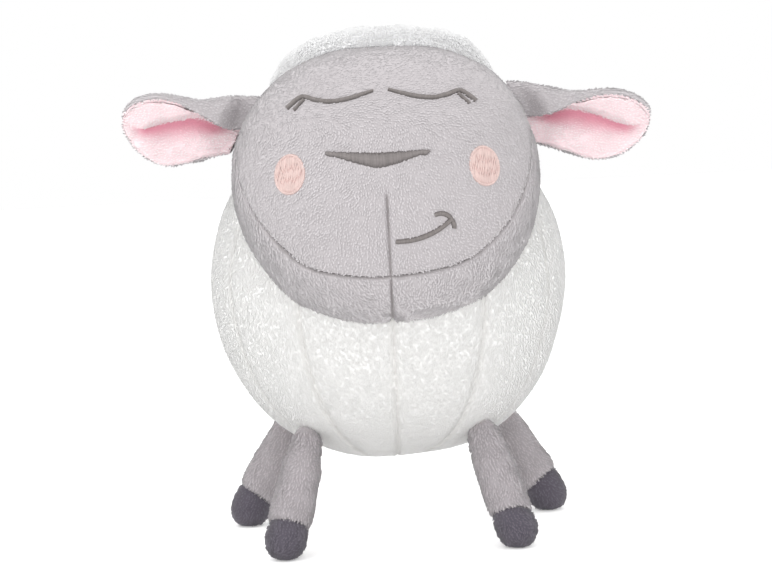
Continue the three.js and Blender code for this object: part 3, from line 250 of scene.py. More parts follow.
# %% [markdown]
# ## Sewn cloth as a mesh
# Every cover is first a grid of points, row by row round a pole. A grid keeps the seams on whole columns or
# rows, which a remeshed shape would lose. The stuffing then blows it out a little: the Cloth modifier with a
# pressure inside, held still along the seams, gives each panel the crown that real stuffing gives it.

# %% Grid meshes


def edit_mesh(piece, change):
    """Opens a piece's mesh for change() to work on, and writes the result back."""
    shape = bmesh.new()
    shape.from_mesh(piece.data)
    change(shape)
    shape.to_mesh(piece.data)
    shape.free()
    return piece


def face_outwards(shape):
    bmesh.ops.recalc_face_normals(shape, faces=shape.faces)


def grid_object(name, rows, closed_top=True, closed_bottom=True):
    """Rows of points, each running round, as a mesh. A closed end gets a point of its own."""
    rows = np.asarray(rows, float)
    count, around = rows.shape[:2]
    points = rows.reshape(-1, 3)
    index = np.arange(count * around).reshape(count, around)
    after = np.roll(index, -1, axis=1)
    faces = np.stack([index[:-1], index[1:], after[1:], after[:-1]], axis=-1).reshape(-1, 4).tolist()
    for closed, row, flip in ((closed_top, 0, False), (closed_bottom, count - 1, True)):
        if closed:
            points = np.vstack([points, rows[row].mean(axis=0)])
            pole = len(points) - 1
            for a, b in zip(index[row], after[row]):
                faces.append([pole, b, a] if flip else [pole, a, b])
    mesh = bpy.data.meshes.new(name)
    mesh.from_pydata((points * MM).tolist(), [], faces)
    return edit_mesh(new_object(name, mesh), face_outwards)


def read_vectors(items, key):
    """The vector that each item of a mesh holds."""
    held = np.empty(len(items) * 3, np.float32)
    items.foreach_get(key, held)
    return held.reshape(-1, 3).astype(float)


def get_points(mesh):
    """A mesh's points in millimetres."""
    return read_vectors(mesh.vertices, "co") / MM


def set_points(mesh, points):
    mesh.vertices.foreach_set("co", (points * MM).astype(np.float32).ravel())
    mesh.update()


def get_normals(mesh):
    return read_vectors(mesh.vertex_normals, "vector")


def put_attribute(mesh, name, values, kind="FLOAT"):
    held = mesh.attributes.new(name, kind, "POINT")
    values = np.asarray(values, np.float32)
    held.data.foreach_set("vector" if values.ndim == 2 else "value", values.ravel())


def shade_smooth(piece):
    piece.data.polygons.foreach_set("use_smooth", np.ones(len(piece.data.polygons), bool))


def evaluated(piece):
    """A piece as its modifiers make it."""
    return piece.evaluated_get(bpy.context.evaluated_depsgraph_get())


def finish_modifiers(piece):
    """Replaces a piece's mesh by what its modifiers make of it."""
    result = bpy.data.meshes.new_from_object(evaluated(piece))
    piece.modifiers.clear()
    piece.data = result
    return piece


def subdivide(piece):
    modifier = piece.modifiers.new("subdivide", "SUBSURF")
    modifier.levels = modifier.render_levels = 1
    return finish_modifiers(piece)


def join(first, *others):
    """Several mesh objects become one."""
    with bpy.context.temp_override(active_object=first, selected_editable_objects=[first, *others]):
        bpy.ops.object.join()
    return first


# %% Stuffing
STUFFING_FRAMES = 20
CLOTH_MASS = 0.2


def stuff(piece, pinned, pressure, limit):
    """Blows a cover out with its seams held, by at most limit millimetres."""
    before = get_points(piece.data)
    group = piece.vertex_groups.new(name="seams")
    group.add([int(i) for i in pinned], 1.0, "REPLACE")
    cloth = piece.modifiers.new("stuffing", "CLOTH")
    cloth.settings.vertex_group_mass = group.name
    cloth.settings.use_pressure = True
    cloth.settings.uniform_pressure_force = pressure
    cloth.settings.effector_weights.gravity = 0
    cloth.settings.mass = CLOTH_MASS
    cloth.point_cache.frame_start = 1
    cloth.point_cache.frame_end = STUFFING_FRAMES
    for number in range(1, STUFFING_FRAMES + 1):
        scene.frame_set(number)
    blown = evaluated(piece)
    moved = get_points(blown.to_mesh()) - before
    blown.to_mesh_clear()
    piece.modifiers.clear()
    piece.vertex_groups.clear()
    scene.frame_set(1)
    length = np.linalg.norm(moved, axis=1)
    print(piece.name, "blown out by up to", round(float(length.max()), 2), "mm")
    moved *= (np.minimum(length, limit) / np.maximum(length, 1e-6))[:, None]
    set_points(piece.data, before + moved)
    return piece


def ripple(piece, size, height, seed):
    """Uneven stuffing: the surface rises and falls by a little over a given distance."""
    points = get_points(piece.data)
    normals = get_normals(piece.data)
    rise_of = [noise.noise(Vector(p) / size + Vector((seed, seed, seed))) for p in points]
    set_points(piece.data, points + normals * (np.array(rise_of) * height)[:, None])
    return piece


# %% [markdown]
# ## Pile
# A plush toy's look is its pile. It is made in two steps of Geometry Nodes. The first scatters roots over the
# cloth, evenly spaced as yarn is. Between the steps, the script decides for each root how its tuft lies: the
# nap's direction, stirred by noise where hands have brushed it, and bare where something is stitched on. The
# second step stands a tuft on each root. A tuft is a bent, closed three-sided spike of ten triangles, which is
# enough when tens of thousands of them lie together.

# %% Scatter tree


def new_tree(name, sockets):
    """A geometry tree with a mesh coming in and one going out, and named inputs for its sizes."""
    tree = bpy.data.node_groups.new(name, "GeometryNodeTree")
    tree.interface.new_socket(name="Geometry", in_out="INPUT", socket_type="NodeSocketGeometry")
    for socket, kind in sockets.items():
        tree.interface.new_socket(name=socket, in_out="INPUT", socket_type="NodeSocket" + kind)
    tree.interface.new_socket(name="Geometry", in_out="OUTPUT", socket_type="NodeSocketGeometry")
    return tree, add(tree, "NodeGroupInput").outputs, add(tree, "NodeGroupOutput").inputs


def run_tree(piece, tree, **values):
    """Puts a geometry tree on a piece, sets its inputs and keeps the resulting mesh."""
    modifier = piece.modifiers.new(tree.name, "NODES")
    modifier.node_group = tree
    sockets = {item.name: item.identifier for item in tree.interface.items_tree if item.in_out == "INPUT"}
    for name, value in values.items():
        modifier[sockets[name.replace("_", " ").capitalize()]] = value
    return finish_modifiers(piece)


def scatter_tree():
    """Spreads roots over a cloth, and keeps the cloth's normal with each."""
    tree, given, out = new_tree("scatter_roots", {"Spacing": "Float", "Seed": "Int"})
    spread = {"Mesh": given["Geometry"], "Distance Min": given["Spacing"], "Seed": given["Seed"]}
    spread["Density Max"] = add(tree, "ShaderNodeMath", {0: given["Spacing"], 1: -2.0}, operation="POWER")
    dots = add(tree, "GeometryNodeDistributePointsOnFaces", spread, distribute_method="POISSON").outputs
    held = {"Geometry": dots["Points"], "Name": "cloth_normal", "Value": dots["Normal"]}
    kept = add(tree, "GeometryNodeStoreNamedAttribute", held, data_type="FLOAT_VECTOR")
    roots = add(tree, "GeometryNodePointsToVertices", {"Points": kept})
    tree.links.new(roots.outputs[0], out["Geometry"])
    return tree


def hand_out(tree, parts, given, out):
    """The end of a tree that repeats a part: real meshes, shaded smooth, in the material that was given."""
    real = add(tree, "GeometryNodeRealizeInstances", {0: parts})
    rounded = add(tree, "GeometryNodeSetShadeSmooth", {"Geometry": real})
    dressed = add(tree, "GeometryNodeSetMaterial", {"Geometry": rounded, "Material": given["Material"]})
    tree.links.new(dressed.outputs[0], out["Geometry"])
    return tree


SCATTER = scatter_tree()

# %% Tuft tree
TUFT_TIP = 0.5  # of its width at the root
TUFT_SIDES = 3
BARE_BELOW = 0.01  # a root with a smaller size than this stays bare


def tuft_tree():
    """Stands a bent spike on each root, leaning the way that the root's nap says."""
    sizes = {"Length": "Float", "Width": "Float", "Bend": "Float", "Material": "Material"}
    tree, given, out = new_tree("stand_tufts", sizes)
    blunt = add(tree, "ShaderNodeMath", {0: given["Width"], 1: TUFT_TIP}, operation="MULTIPLY")
    cone = {"Vertices": TUFT_SIDES, "Side Segments": 1, "Depth": given["Length"]}
    cone.update({"Radius Top": blunt, "Radius Bottom": given["Width"]})
    spike = add(tree, "GeometryNodeMeshCone", cone, fill_type="NGON")
    parts = add(tree, "ShaderNodeSeparateXYZ", {0: add(tree, "GeometryNodeInputPosition")})
    share = add(tree, "ShaderNodeMath", {0: parts.outputs[2], 1: given["Length"]}, operation="DIVIDE")
    square = add(tree, "ShaderNodeMath", {0: share, 1: share}, operation="MULTIPLY")
    lean = add(tree, "ShaderNodeMath", {0: square, 1: given["Bend"]}, operation="MULTIPLY")
    offset = add(tree, "ShaderNodeCombineXYZ", {0: lean})
    held = {"Geometry": spike.outputs["Mesh"], "Name": "tip", "Value": share}
    marked = add(tree, "GeometryNodeStoreNamedAttribute", held, data_type="FLOAT")
    bent = add(tree, "GeometryNodeSetPosition", {"Geometry": marked, "Offset": offset})
    lay, nap, size = (
        add(tree, "GeometryNodeInputNamedAttribute", {"Name": name}, data_type=kind).outputs[0]
        for name, kind in (("lay", "FLOAT_VECTOR"), ("nap", "FLOAT_VECTOR"), ("size", "FLOAT"))
    )
    upright = add(tree, "FunctionNodeAlignRotationToVector", {"Vector": lay}, axis="Z")
    aim_at = {"Rotation": upright, "Vector": nap}
    turned = add(tree, "FunctionNodeAlignRotationToVector", aim_at, axis="X", pivot_axis="Z")
    shown = add(tree, "FunctionNodeCompare", {0: size, 1: BARE_BELOW}, operation="GREATER_THAN")
    stand = {"Points": given["Geometry"], "Selection": shown}
    stand.update({"Instance": bent, "Rotation": turned, "Scale": size})
    return hand_out(tree, add(tree, "GeometryNodeInstanceOnPoints", stand), given, out)


TUFTS = tuft_tree()

# %% Pile on a cover
SOFT_SHADING = 0.82  # how far a tuft is shaded like the cloth under it
PLUSH_SPACING = 0.8  # between the tufts of the plush, other than the ball's
SWIRL_SIZE = 6.0  # the nap turns over this distance, and a little more over a quarter of it
UPRIGHT_SPREAD = (0.6, 1.4)  # how differently tufts stand
SIZE_SPREAD = (0.75, 1.2)  # and how long they are
noise.seed_set(1)  # without a seed, noise_vector gives other values in each run


def get_vectors(mesh, name):
    return read_vectors(mesh.attributes[name].data, "vector")


def nearest_values(piece, name, points):
    """A piece's attribute at its point that is nearest to each of the given points."""
    values = np.zeros(len(piece.data.vertices), np.float32)
    piece.data.attributes[name].data.foreach_get("value", values)
    tree = KDTree(len(values))
    for index, point in enumerate(get_points(piece.data)):
        tree.insert(point, index)
    tree.balance()
    return values[[tree.find(point)[1] for point in points]]


def stir(points, size, seed):
    """A smooth random vector at each point, which changes over a distance of size."""
    shift = Vector((seed, -seed, 2 * seed))
    return np.array([noise.noise_vector(Vector(p) / size + shift) for p in points])


def pile(cover, finish, nap_of, spacing, length, width, stand, swirl, seed, bend=0.3, grow=None):
    """Tufts over a cover. nap_of gives the nap's direction and grow the size of each tuft, from its root."""
    tufts = new_object(cover.name + "_pile", cover.data.copy())
    run_tree(tufts, SCATTER, Spacing=spacing * MM, Seed=seed)
    roots = get_points(tufts.data)
    normals = get_vectors(tufts.data, "cloth_normal")
    nap = nap_of(roots, normals)
    nap = unit(nap + swirl * 2 * stir(roots, SWIRL_SIZE, seed) + swirl * stir(roots, SWIRL_SIZE / 4, seed + 7))
    nap = unit(nap - normals * np.sum(nap * normals, axis=1)[:, None])
    generator = np.random.default_rng(seed)
    upright = stand * generator.uniform(*UPRIGHT_SPREAD, len(roots))[:, None]
    size = generator.uniform(*SIZE_SPREAD, len(roots))
    if grow is not None:
        size = size * grow(roots, normals)
    put_attribute(tufts.data, "lay", unit(nap + normals * upright), "FLOAT_VECTOR")
    put_attribute(tufts.data, "nap", -normals, "FLOAT_VECTOR")
    put_attribute(tufts.data, "size", size)
    put_attribute(tufts.data, "shade", generator.uniform(0, 1, len(roots)))
    # The tufts carry the cover's painted shade too.
    if "deep" in cover.data.attributes:
        put_attribute(tufts.data, "deep", nearest_values(cover, "deep", roots))
    run_tree(tufts, TUFTS, Length=length * MM, Width=width * MM, Bend=bend * length * MM, Material=finish)
    print(cover.name, "pile:", len(roots), "roots,", len(tufts.data.polygons), "faces")
    return tufts


def dress(cover, finish, thickness, tufts=(), softness=SOFT_SHADING):
    """Gives a cover its cloth's thickness and finish, and joins its tufts to it, shaded softly."""
    cover.data.materials.append(finish)
    wall = cover.modifiers.new("cloth", "SOLIDIFY")
    wall.thickness = thickness * MM
    wall.offset = -1
    finish_modifiers(cover)
    shade_smooth(cover)
    if tufts:
        join(cover, *tufts)
        normals = get_normals(cover.data)
        cloth_normals = get_vectors(cover.data, "cloth_normal")
        on_tuft = np.linalg.norm(cloth_normals, axis=1) > 0.5
        normals[on_tuft] = unit(normals[on_tuft] * (1 - softness) + cloth_normals[on_tuft] * softness)
        cover.data.normals_split_custom_set_from_vertices(normals.tolist())
    return cover


# %% [markdown]
# ## The ball
# Twelve gores make the ball, and one seam runs down the middle of the front. Close to each seam the columns of
# the grid crowd together, so that the cloth can turn in sharply there. The gores meet underneath in a small
# gathered point.

# %% Ball grid
GORES = 12
GORE_COLUMNS = np.array([0, 0.035, 0.1, 0.22, 0.36, 0.5, 0.64, 0.78, 0.9, 0.965])
GORE_PULL = np.array([1.0, 0.45, 0.12, 0, 0, 0, 0, 0, 0.12, 0.45])  # how far its seam draws each in
SEAM_DEPTH = 1.1
BALL_ROWS = 46
SAG = {-1: 1.7, 1: 2.6}  # on either side, the stuffing settles low down, over the legs
SAG_FROM, SAG_FULL = 8, 28  # degrees from the ball's lowest point
SAG_EASES, SAG_TO = 44, 70  # and it fades out between these
SEAM_RISE = 3  # near the poles, where the gores are narrow, the seams are shallower


def ball_grid():
    longitude = (np.add.outer(np.arange(GORES), GORE_COLUMNS).ravel() / GORES) * 2 * math.pi - math.pi / 2
    pull = np.tile(GORE_PULL, GORES)
    latitude = (0.5 - np.arange(1, BALL_ROWS) / BALL_ROWS) * math.pi
    level = np.cos(latitude)[:, None]
    reach = BALL_RADIUS - SEAM_DEPTH * pull[None, :] * np.minimum(1, level * SEAM_RISE)
    polar = np.degrees(latitude)[:, None] + 90
    sideways = np.cos(longitude)[None, :]
    settled = np.where(sideways < 0, SAG[-1], SAG[1]) * np.abs(sideways)
    reach = reach + settled * smooth(SAG_FROM, SAG_FULL, polar) * (1 - smooth(SAG_EASES, SAG_TO, polar))
    height = reach * np.sin(latitude)[:, None] * np.ones_like(longitude)
    rows = np.stack([reach * level * np.cos(longitude), reach * level * np.sin(longitude), height], axis=-1)
    return rows + BALL_MIDDLE, np.flatnonzero(pull == 1)


ball_rows, ball_seams = ball_grid()
ball_cover = grid_object("ball_cover", ball_rows)
ball_pins = (np.arange(len(ball_rows))[:, None] * ball_rows.shape[1] + ball_seams).ravel()
stuff(ball_cover, ball_pins, pressure=3.0, limit=0.8)
subdivide(ball_cover)
ripple(ball_cover, size=22.0, height=0.7, seed=3)


def ball_seam_distance(points):
    """How far points of the ball lie from its nearest seam."""
    local = points - BALL_MIDDLE
    gore = 2 * math.pi / GORES
    longitude = np.arctan2(local[:, 1], local[:, 0]) + math.pi / 2
    return np.abs((longitude + gore / 2) % gore - gore / 2) * np.hypot(local[:, 0], local[:, 1])


def shade_seams(cover, distance, reach, strength):
    """Light hardly reaches the cloth beside a seam, so its mesh keeps how close each point lies to one, for
    painted shade there.
    """
    put_attribute(cover.data, "deep", strength * np.exp(-((distance(get_points(cover.data)) / reach) ** 2)))


# Painted shade beside the ball's seams.
shade_seams(ball_cover, ball_seam_distance, 1.6, 0.35)
print("ball cover:", len(ball_cover.data.polygons), "faces")

# %% [markdown]
# The back of the ball is open: the light unit sits in a pocket there. The cover ends under the hem that binds
# the opening. Under the head no pile shows, so none is grown there.

# %% Ball opening and pile
LINER_THICKNESS = 1.0  # of the frame's pocket
pocket_low, pocket_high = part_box("pocket_liner")
POCKET_RADIUS = (pocket_high.x - pocket_low.x) / 2 / MM - LINER_THICKNESS
HEM_WIDTH = 4.0
HEAD_HALF_WIDTH = 67.5
HEAD_HALF_HEIGHT = 61.0
HEAD_HALF_DEPTH = 57.0
PROFILE_POWER = 2.6
CROWN_POWER = 2.5
JAW_POWER = 2.0


def head_share(points, grown=0.0):
    """How far out a point lies in the head: 1 on its surface, less inside."""
    local = points - HEAD_MIDDLE
    x = np.abs(local @ ACROSS) / (HEAD_HALF_WIDTH + grown)
    up = local @ FACE_UP
    out = np.abs(local @ FACE_OUT) / (HEAD_HALF_DEPTH + grown)
    power = np.where(up > 0, CROWN_POWER, JAW_POWER)
    outline = (x**power + (np.abs(up) / (HEAD_HALF_HEIGHT + grown)) ** power) ** (PROFILE_POWER / power)
    return (outline + out**PROFILE_POWER) ** (1 / PROFILE_POWER)


def cut_faces(piece, gone):
    """Deletes the faces whose middles gone() picks out."""

    def cut(shape):
        middles = np.array([face.calc_center_median() for face in shape.faces]) / MM
        chosen = [face for face, out in zip(shape.faces, gone(middles)) if out]
        bmesh.ops.delete(shape, geom=chosen, context="FACES")

    return edit_mesh(piece, cut)


def in_opening(points, radius):
    local = points - BALL_MIDDLE
    return (local[:, 1] > 0) & (np.hypot(local[:, 0], local[:, 2]) < radius)


cut_faces(ball_cover, lambda middles: in_opening(middles, POCKET_RADIUS + 1.0))


def brushed(direction, lift):
    """A nap that is brushed one way all over a piece, and lifted off the cloth a little."""

    def nap_of(points, normals):
        return np.tile(direction, (len(points), 1)) + lift * normals

    return nap_of


def ball_growth(points, normals):
    hidden = (head_share(points, grown=-5.0) < 1) | in_opening(points, POCKET_RADIUS + HEM_WIDTH - 0.5)
    return np.where(hidden, 0.0, 1.0)


# The ball's nap is brushed downwards.
ball_tufts = pile(
    ball_cover,
    WHITE_PLUSH,
    brushed([0.0, 0.0, -1.0], 0.15),
    spacing=0.6,
    length=0.8,
    width=0.4,
    stand=0.7,
    swirl=0.1,
    grow=ball_growth,
    seed=11,
)
dress(ball_cover, WHITE_PLUSH, 1.5, [ball_tufts], softness=0.98)

# %% [markdown]
# ## The head
# The head is a broad, flattened ball. One panel covers the face and the crown, another the jaw, and they meet
# in a seam that dips towards the chin. A second seam runs from under the nose down over the jaw.

# %% Head grid
CHIN_FRONT, CHIN_POLE = tilted(-math.radians(32.5))
MIDDLE_SEAM_TOP = -15.0  # height on the face
HEAD_PILE = 1.0  # how far the pile stands out of the cloth
NEAR_SEAM = np.array([0, 0.45, 1.0, 1.8, 3.0, 5.0])  # degrees from a seam, where the grid is finer
FACE_ANGLES = np.radians([3, 7, *range(11, 83, 4), *(90 - NEAR_SEAM[::-1])])
CHIN_ANGLES = np.radians([*(90 + NEAR_SEAM), *range(98, 176, 4)])
TURNS = np.radians([*NEAR_SEAM, *np.linspace(8, 352, 93), *(360 - NEAR_SEAM[:0:-1])])
SEAM_VALLEY = (0.7, 2.8)  # how deep and how wide a seam's soft valley is
SEAM_CREASE = (1.3, 0.6)  # and the sharp crease at its bottom
PINNED_DIP = 1.3  # the stuffing can't move the cloth where the middle seam dips more than this


def seam_dip(distance):
    """How far a seam draws the cloth in."""
    return sum(depth * np.exp(-((distance / reach) ** 2)) for depth, reach in (SEAM_VALLEY, SEAM_CREASE))


def middle_seam_distance(points):
    """How far points of the head lie from its middle seam, which ends under the nose."""
    x, height, in_front = face_place(points)
    above = np.maximum(0, height - MIDDLE_SEAM_TOP)
    return np.where(in_front, np.hypot(x, 3 * above), 99.0)


def chin_seam_distance(points):
    """How far points of the head lie above or below the chin seam."""
    local = points - HEAD_MIDDLE
    distance = np.linalg.norm(local, axis=-1)
    angle = np.arccos(np.clip(local @ CHIN_POLE / distance, -1, 1))
    turn = np.arctan2(local @ ACROSS, local @ CHIN_FRONT)
    return np.abs(angle - chin_seam_angle(turn)) * distance


def head_seam_distance(points):
    return np.minimum(chin_seam_distance(points), middle_seam_distance(points))


def face_place(points):
    """Where points lie across and up the face, and whether they are on its front."""
    local = points - HEAD_MIDDLE
    return local @ ACROSS, local @ FACE_UP, local @ FACE_OUT > 0


def chin_seam_angle(turn):
    """The angle from the chin pole at which the seam runs. It rises at the cheeks, towards the ears."""
    aside = np.abs(np.degrees(turn))
    rise_by = 1.2 + 20.5 * smooth(26, 92, aside) * (1 - smooth(100, 160, aside)) + np.sin(turn)
    return np.radians(90 - rise_by)


def head_surface(directions):
    """Points of the head's surface along unit directions from its middle."""
    reach = 1 / head_share(HEAD_MIDDLE + directions)
    return HEAD_MIDDLE + directions * (reach * stuffing(directions * reach[..., None]))[..., None]


def stuffing(local):
    """How full the head is stuffed. A hand filled it: fuller at the jaw, and slacker at one upper corner."""
    across, height = local @ ACROSS, local @ FACE_UP
    upper = smooth(15, 45, height)
    corners = 0.02 * smooth(15, 50, -across) + 0.008 * smooth(15, 50, across)
    slack = 0.018 * smooth(0, 60, -across) + upper * corners
    jowl = 0.022 * smooth(35, 62, -across) * smooth(-5, 25, -height)
    return 1 - slack - jowl + 0.045 * smooth(30, 55, -height)


def head_grid(angles):
    angle, around = np.meshgrid(angles, TURNS, indexing="ij")
    seam = chin_seam_angle((around + math.pi) % (2 * math.pi) - math.pi)
    above = angle * seam / (math.pi / 2)
    below = math.pi - (math.pi - angle) * (math.pi - seam) / (math.pi / 2)
    angle = np.where(angle <= math.pi / 2, above, below)
    directions = (
        np.cos(angle)[..., None] * CHIN_POLE
        + (np.sin(angle) * np.cos(around))[..., None] * CHIN_FRONT
        + (np.sin(angle) * np.sin(around))[..., None] * ACROSS
    )
    points = head_surface(directions)
    chin = seam_dip(chin_seam_distance(points))
    middle = seam_dip(middle_seam_distance(points))
    return points - directions * (np.maximum(chin, middle) + HEAD_PILE)[..., None], middle


def head_cover(name, angles, is_face, seed):
    """One panel of the head, stuffed, with its edge turned in at the chin seam."""
    rows, middle = head_grid(angles)
    cover = grid_object(name, rows, closed_top=is_face, closed_bottom=not is_face)
    index = np.arange(rows.shape[0] * rows.shape[1]).reshape(rows.shape[:2])
    pins = np.concatenate([index[-1 if is_face else 0], index[middle > PINNED_DIP]])
    stuff(cover, pins, pressure=2.5, limit=0.9)
    subdivide(cover)
    ripple(cover, size=18.0, height=0.5, seed=seed)
    # Painted shade beside the head's seams.
    shade_seams(cover, head_seam_distance, 0.6, 0.65)
    return cover


face_cover = head_cover("face_cover", FACE_ANGLES, True, seed=5)
chin_cover = head_cover("chin_cover", CHIN_ANGLES, False, seed=6)


def inside_ball(points, depth):
    return np.linalg.norm(points - BALL_MIDDLE, axis=1) < BALL_RADIUS - depth


HIDDEN_DEPTH = 4.0  # the head's cloth isn't needed this deep inside the ball
for cover in (face_cover, chin_cover):
    cut_faces(cover, lambda middles: inside_ball(middles, HIDDEN_DEPTH))

# %% Face frame
face_tree = BVHTree.FromObject(face_cover, bpy.context.evaluated_depsgraph_get())


def on_face(x, height, lift):
    """The point over a place across and up the face, lifted off the cloth, in millimetres."""
    start = HEAD_MIDDLE + x * ACROSS + height * FACE_UP + 90 * FACE_OUT
    spot, normal, _, _ = face_tree.ray_cast(Vector(start * MM), Vector(-FACE_OUT))
    return np.array(spot) / MM + np.array(normal) * lift


# %% [markdown]
# ## Outlines of the stitched features
# The nose, cheeks, eyes and mouth are machine embroidery. Their outlines are set out on the flat face first,
# because the pile has to leave room for them: the machine stitches it down.

# %% Feature outlines
NOSE_HALF_WIDTH = 21.5
NOSE_TOP = 2.8
NOSE_DROP = 7.0
NOSE_END = 2.0  # its thickness close to either end
CHEEK_X = 40.3
CHEEK_SHIFT = {-1: np.array([1.0, 0.7]), 1: np.array([0.7, 0.0])}  # neither is sewn on quite evenly
CHEEK_HEIGHT = -3.6
CHEEK_HALF_WIDTH = 6.4
CHEEK_HALF_HEIGHT = 8.5
# The closed lid's route, from its inner end over a crest into its outer lash
EYE_ROUTE = np.array(
    [(3.3, 28.6), (8.0, 27.0), (14.5, 25.2), (21.5, 24.6)]
    + [(27.5, 26.1), (31.6, 28.0), (34.2, 27.6), (39.2, 23.8)]
)
INNER_LASH = np.array([(32.0, 26.6), (36.4, 22.2)])
INNER_LASH_WIDTH = 1.2
EYE_LIFT = {-1: (1.1, 2.4), 1: (1.3, 1.0)}  # how much higher each eye is sewn, at its inner and outer end
NOSE_X = -2.8  # the nose is sewn a little to one side
NOSE_SLOPE = 0.04  # and a little askew
LINE_WIDTH = 2.1
LINE_ROOM = 0.2  # the pile also stays this clear of the mouth's thread
MOUTH_START_X = 3.0
MOUTH_END_X = 26.2
MOUTH_HEIGHT = -34.0
MOUTH_RISE = 8.4
MOUTH_CURL = 2.4
HOOK_RADIUS = 5.2
HOOK_MIDDLE = np.array([-4.4, -3.0])  # from the smile's end
HOOK_TURN = (math.radians(118), math.radians(-8))


def nose_edges(x):
    """The nose's upper and lower edge at a place across it. Its ends are blunt."""
    share = np.minimum(np.hypot(x / NOSE_HALF_WIDTH, 0.05), 1)
    end = (1 - smooth(0.9, 1.0, share)) ** 0.5
    top = NOSE_TOP - NOSE_SLOPE * x + 0.9 * share**2 - 0.6 * (1 - end)
    depth = np.maximum(NOSE_DROP * (1 - share**1.25) ** 0.9, NOSE_END * end)
    return top, top - depth


def cheek_place(side):
    return np.array([side * CHEEK_X, CHEEK_HEIGHT]) + CHEEK_SHIFT[side]


def lift_eye(side, line):
    """One eye is sewn a little higher than the other, most of all at its outer end."""
    low, high = EYE_LIFT[side]
    share = (line[:, 0] - EYE_ROUTE[0, 0]) / np.ptp(EYE_ROUTE[:, 0])
    return np.stack([side * line[:, 0], line[:, 1] + low + (high - low) * share], axis=1)


def eye_line(side):
    return lift_eye(side, spline(EYE_ROUTE, np.linspace(0, 1, 60)))


def inner_lash(side):
    return lift_eye(side, np.linspace(INNER_LASH[0], INNER_LASH[1], 10))


def mouth_lines():
    share = np.linspace(0, 1, 40)
    x = MOUTH_START_X + (MOUTH_END_X - MOUTH_START_X) * share
    smile = np.stack([x, MOUTH_HEIGHT + MOUTH_RISE * share**MOUTH_CURL], axis=1)
    angle = np.linspace(*HOOK_TURN, 16)
    hook = smile[-1] + HOOK_MIDDLE + HOOK_RADIUS * np.stack([np.cos(angle), np.sin(angle)], axis=1)
    return [smile, hook]


def near_line(x, height, line, width):
    """Whether places on the face lie within half a width of a line."""
    places = np.stack([x, height], axis=1)
    near = np.zeros(len(places), bool)
    close = np.abs(places - line.mean(axis=0)).max(axis=1) < np.ptp(line, axis=0).max() / 2 + 4
    gaps = np.linalg.norm(places[close][:, None, :] - line[None, :, :], axis=2).min(axis=1)
    near[close] = gaps < width / 2
    return near


def stitched_down(points):
    """Roots that lie under the embroidery."""
    x, height, in_front = face_place(points)
    from_nose = x - NOSE_X
    top, bottom = nose_edges(np.clip(from_nose, -NOSE_HALF_WIDTH, NOSE_HALF_WIDTH))
    covered = (np.abs(from_nose) < NOSE_HALF_WIDTH) & (height < top + 0.2) & (height > bottom + 0.1)
    for side in (-1, 1):
        middle = cheek_place(side)
        covered |= np.hypot((x - middle[0]) / CHEEK_HALF_WIDTH, (height - middle[1]) / CHEEK_HALF_HEIGHT) < 1.0
        covered |= near_line(x, height, eye_line(side), LINE_WIDTH)
        covered |= near_line(x, height, inner_lash(side), INNER_LASH_WIDTH)
    for line in mouth_lines():
        covered |= near_line(x, height, line, LINE_WIDTH + LINE_ROOM)
    return covered & in_front


# %% [markdown]
# ## Head pile
# The head's nap runs down and outwards from the brow. Near the chin seam the jaw's pile hangs straight down and
# is a little longer, so the seam shows as a soft dark line between two rows of tufts, with painted shade along
# it.

# %% Head pile
WOOL_FRONT, WOOL_POLE = tilted(math.radians(38.0))
WOOL_HEIGHT = 41.5
WOOL_THICKNESS = 10.2
HAIRLINE_RISE = 5.0  # towards the sides
HAIRLINE_SLANT = 1.5  # and a little more on one side
PILE_LIFT = 0.1  # of the head's and legs' nap off the cloth
BROW_FROM, BROW_TO = 5, 30  # the nap turns sideways between these heights on the face


def face_nap(points, normals):
    """The face's pile falls down and outwards, and lies sideways over the brow."""
    x, height, _ = face_place(points)
    brow = smooth(BROW_FROM, BROW_TO, height)
    aside = np.outer(x / 60.0 * (1 - brow) + brow, ACROSS)
    return -0.8 * np.outer(1 - brow, FACE_UP) + aside + PILE_LIFT * normals


def above_hairline(points):
    """How far points lie above the plane in which the wool's edge runs. It rises towards the sides."""
    local = points - HEAD_MIDDLE
    x = local @ ACROSS
    above = local @ WOOL_POLE - WOOL_HEIGHT
    return above - HAIRLINE_RISE * smooth(18, 48, np.abs(x)) - HAIRLINE_SLANT * smooth(0, 40, -x)


def head_growth(points, normals):
    """The pile thins out at a seam and under the wool, and is a little shorter on the brow."""
    under_wool = above_hairline(points) > 3.5
    hidden = under_wool | inside_ball(points, 2.0) | stitched_down(points)
    from_seam = head_seam_distance(points)
    brow = 1 - 0.3 * smooth(10, 40, face_place(points)[1])
    return np.where(hidden, 0.0, smooth(0.1, 1.4, from_seam) * 0.4 + 0.6) * (from_seam > 0.25) * brow


def chin_nap(points, normals):
    """The jaw's pile falls straight down, and slants towards the middle seam on one side."""
    x, _, _ = face_place(points)
    return -FACE_UP + np.outer(0.5 * smooth(60, 5, -x) * (x < 0), ACROSS) + PILE_LIFT * normals


def grow_head_pile(cover, nap, length, width, swirl, softness, seed):
    tufts = pile(cover, GREY_PLUSH, nap, PLUSH_SPACING, length, width, 0.9, swirl, seed, grow=head_growth)
    dress(cover, GREY_PLUSH, 1.2, [tufts], softness=softness)


grow_head_pile(face_cover, face_nap, 0.9, 0.48, swirl=0.3, softness=0.96, seed=21)
grow_head_pile(chin_cover, chin_nap, 1.15, 0.5, swirl=0.35, softness=0.94, seed=22)

# %% [markdown]
# ## The wool
# The fleece on top of the head is a separate piece with a deep, curly pile. Its cover bulges in soft lumps. Its
# tufts are longer than the plush's, stand up more and turn every way, so that its outline looks like a cloud.

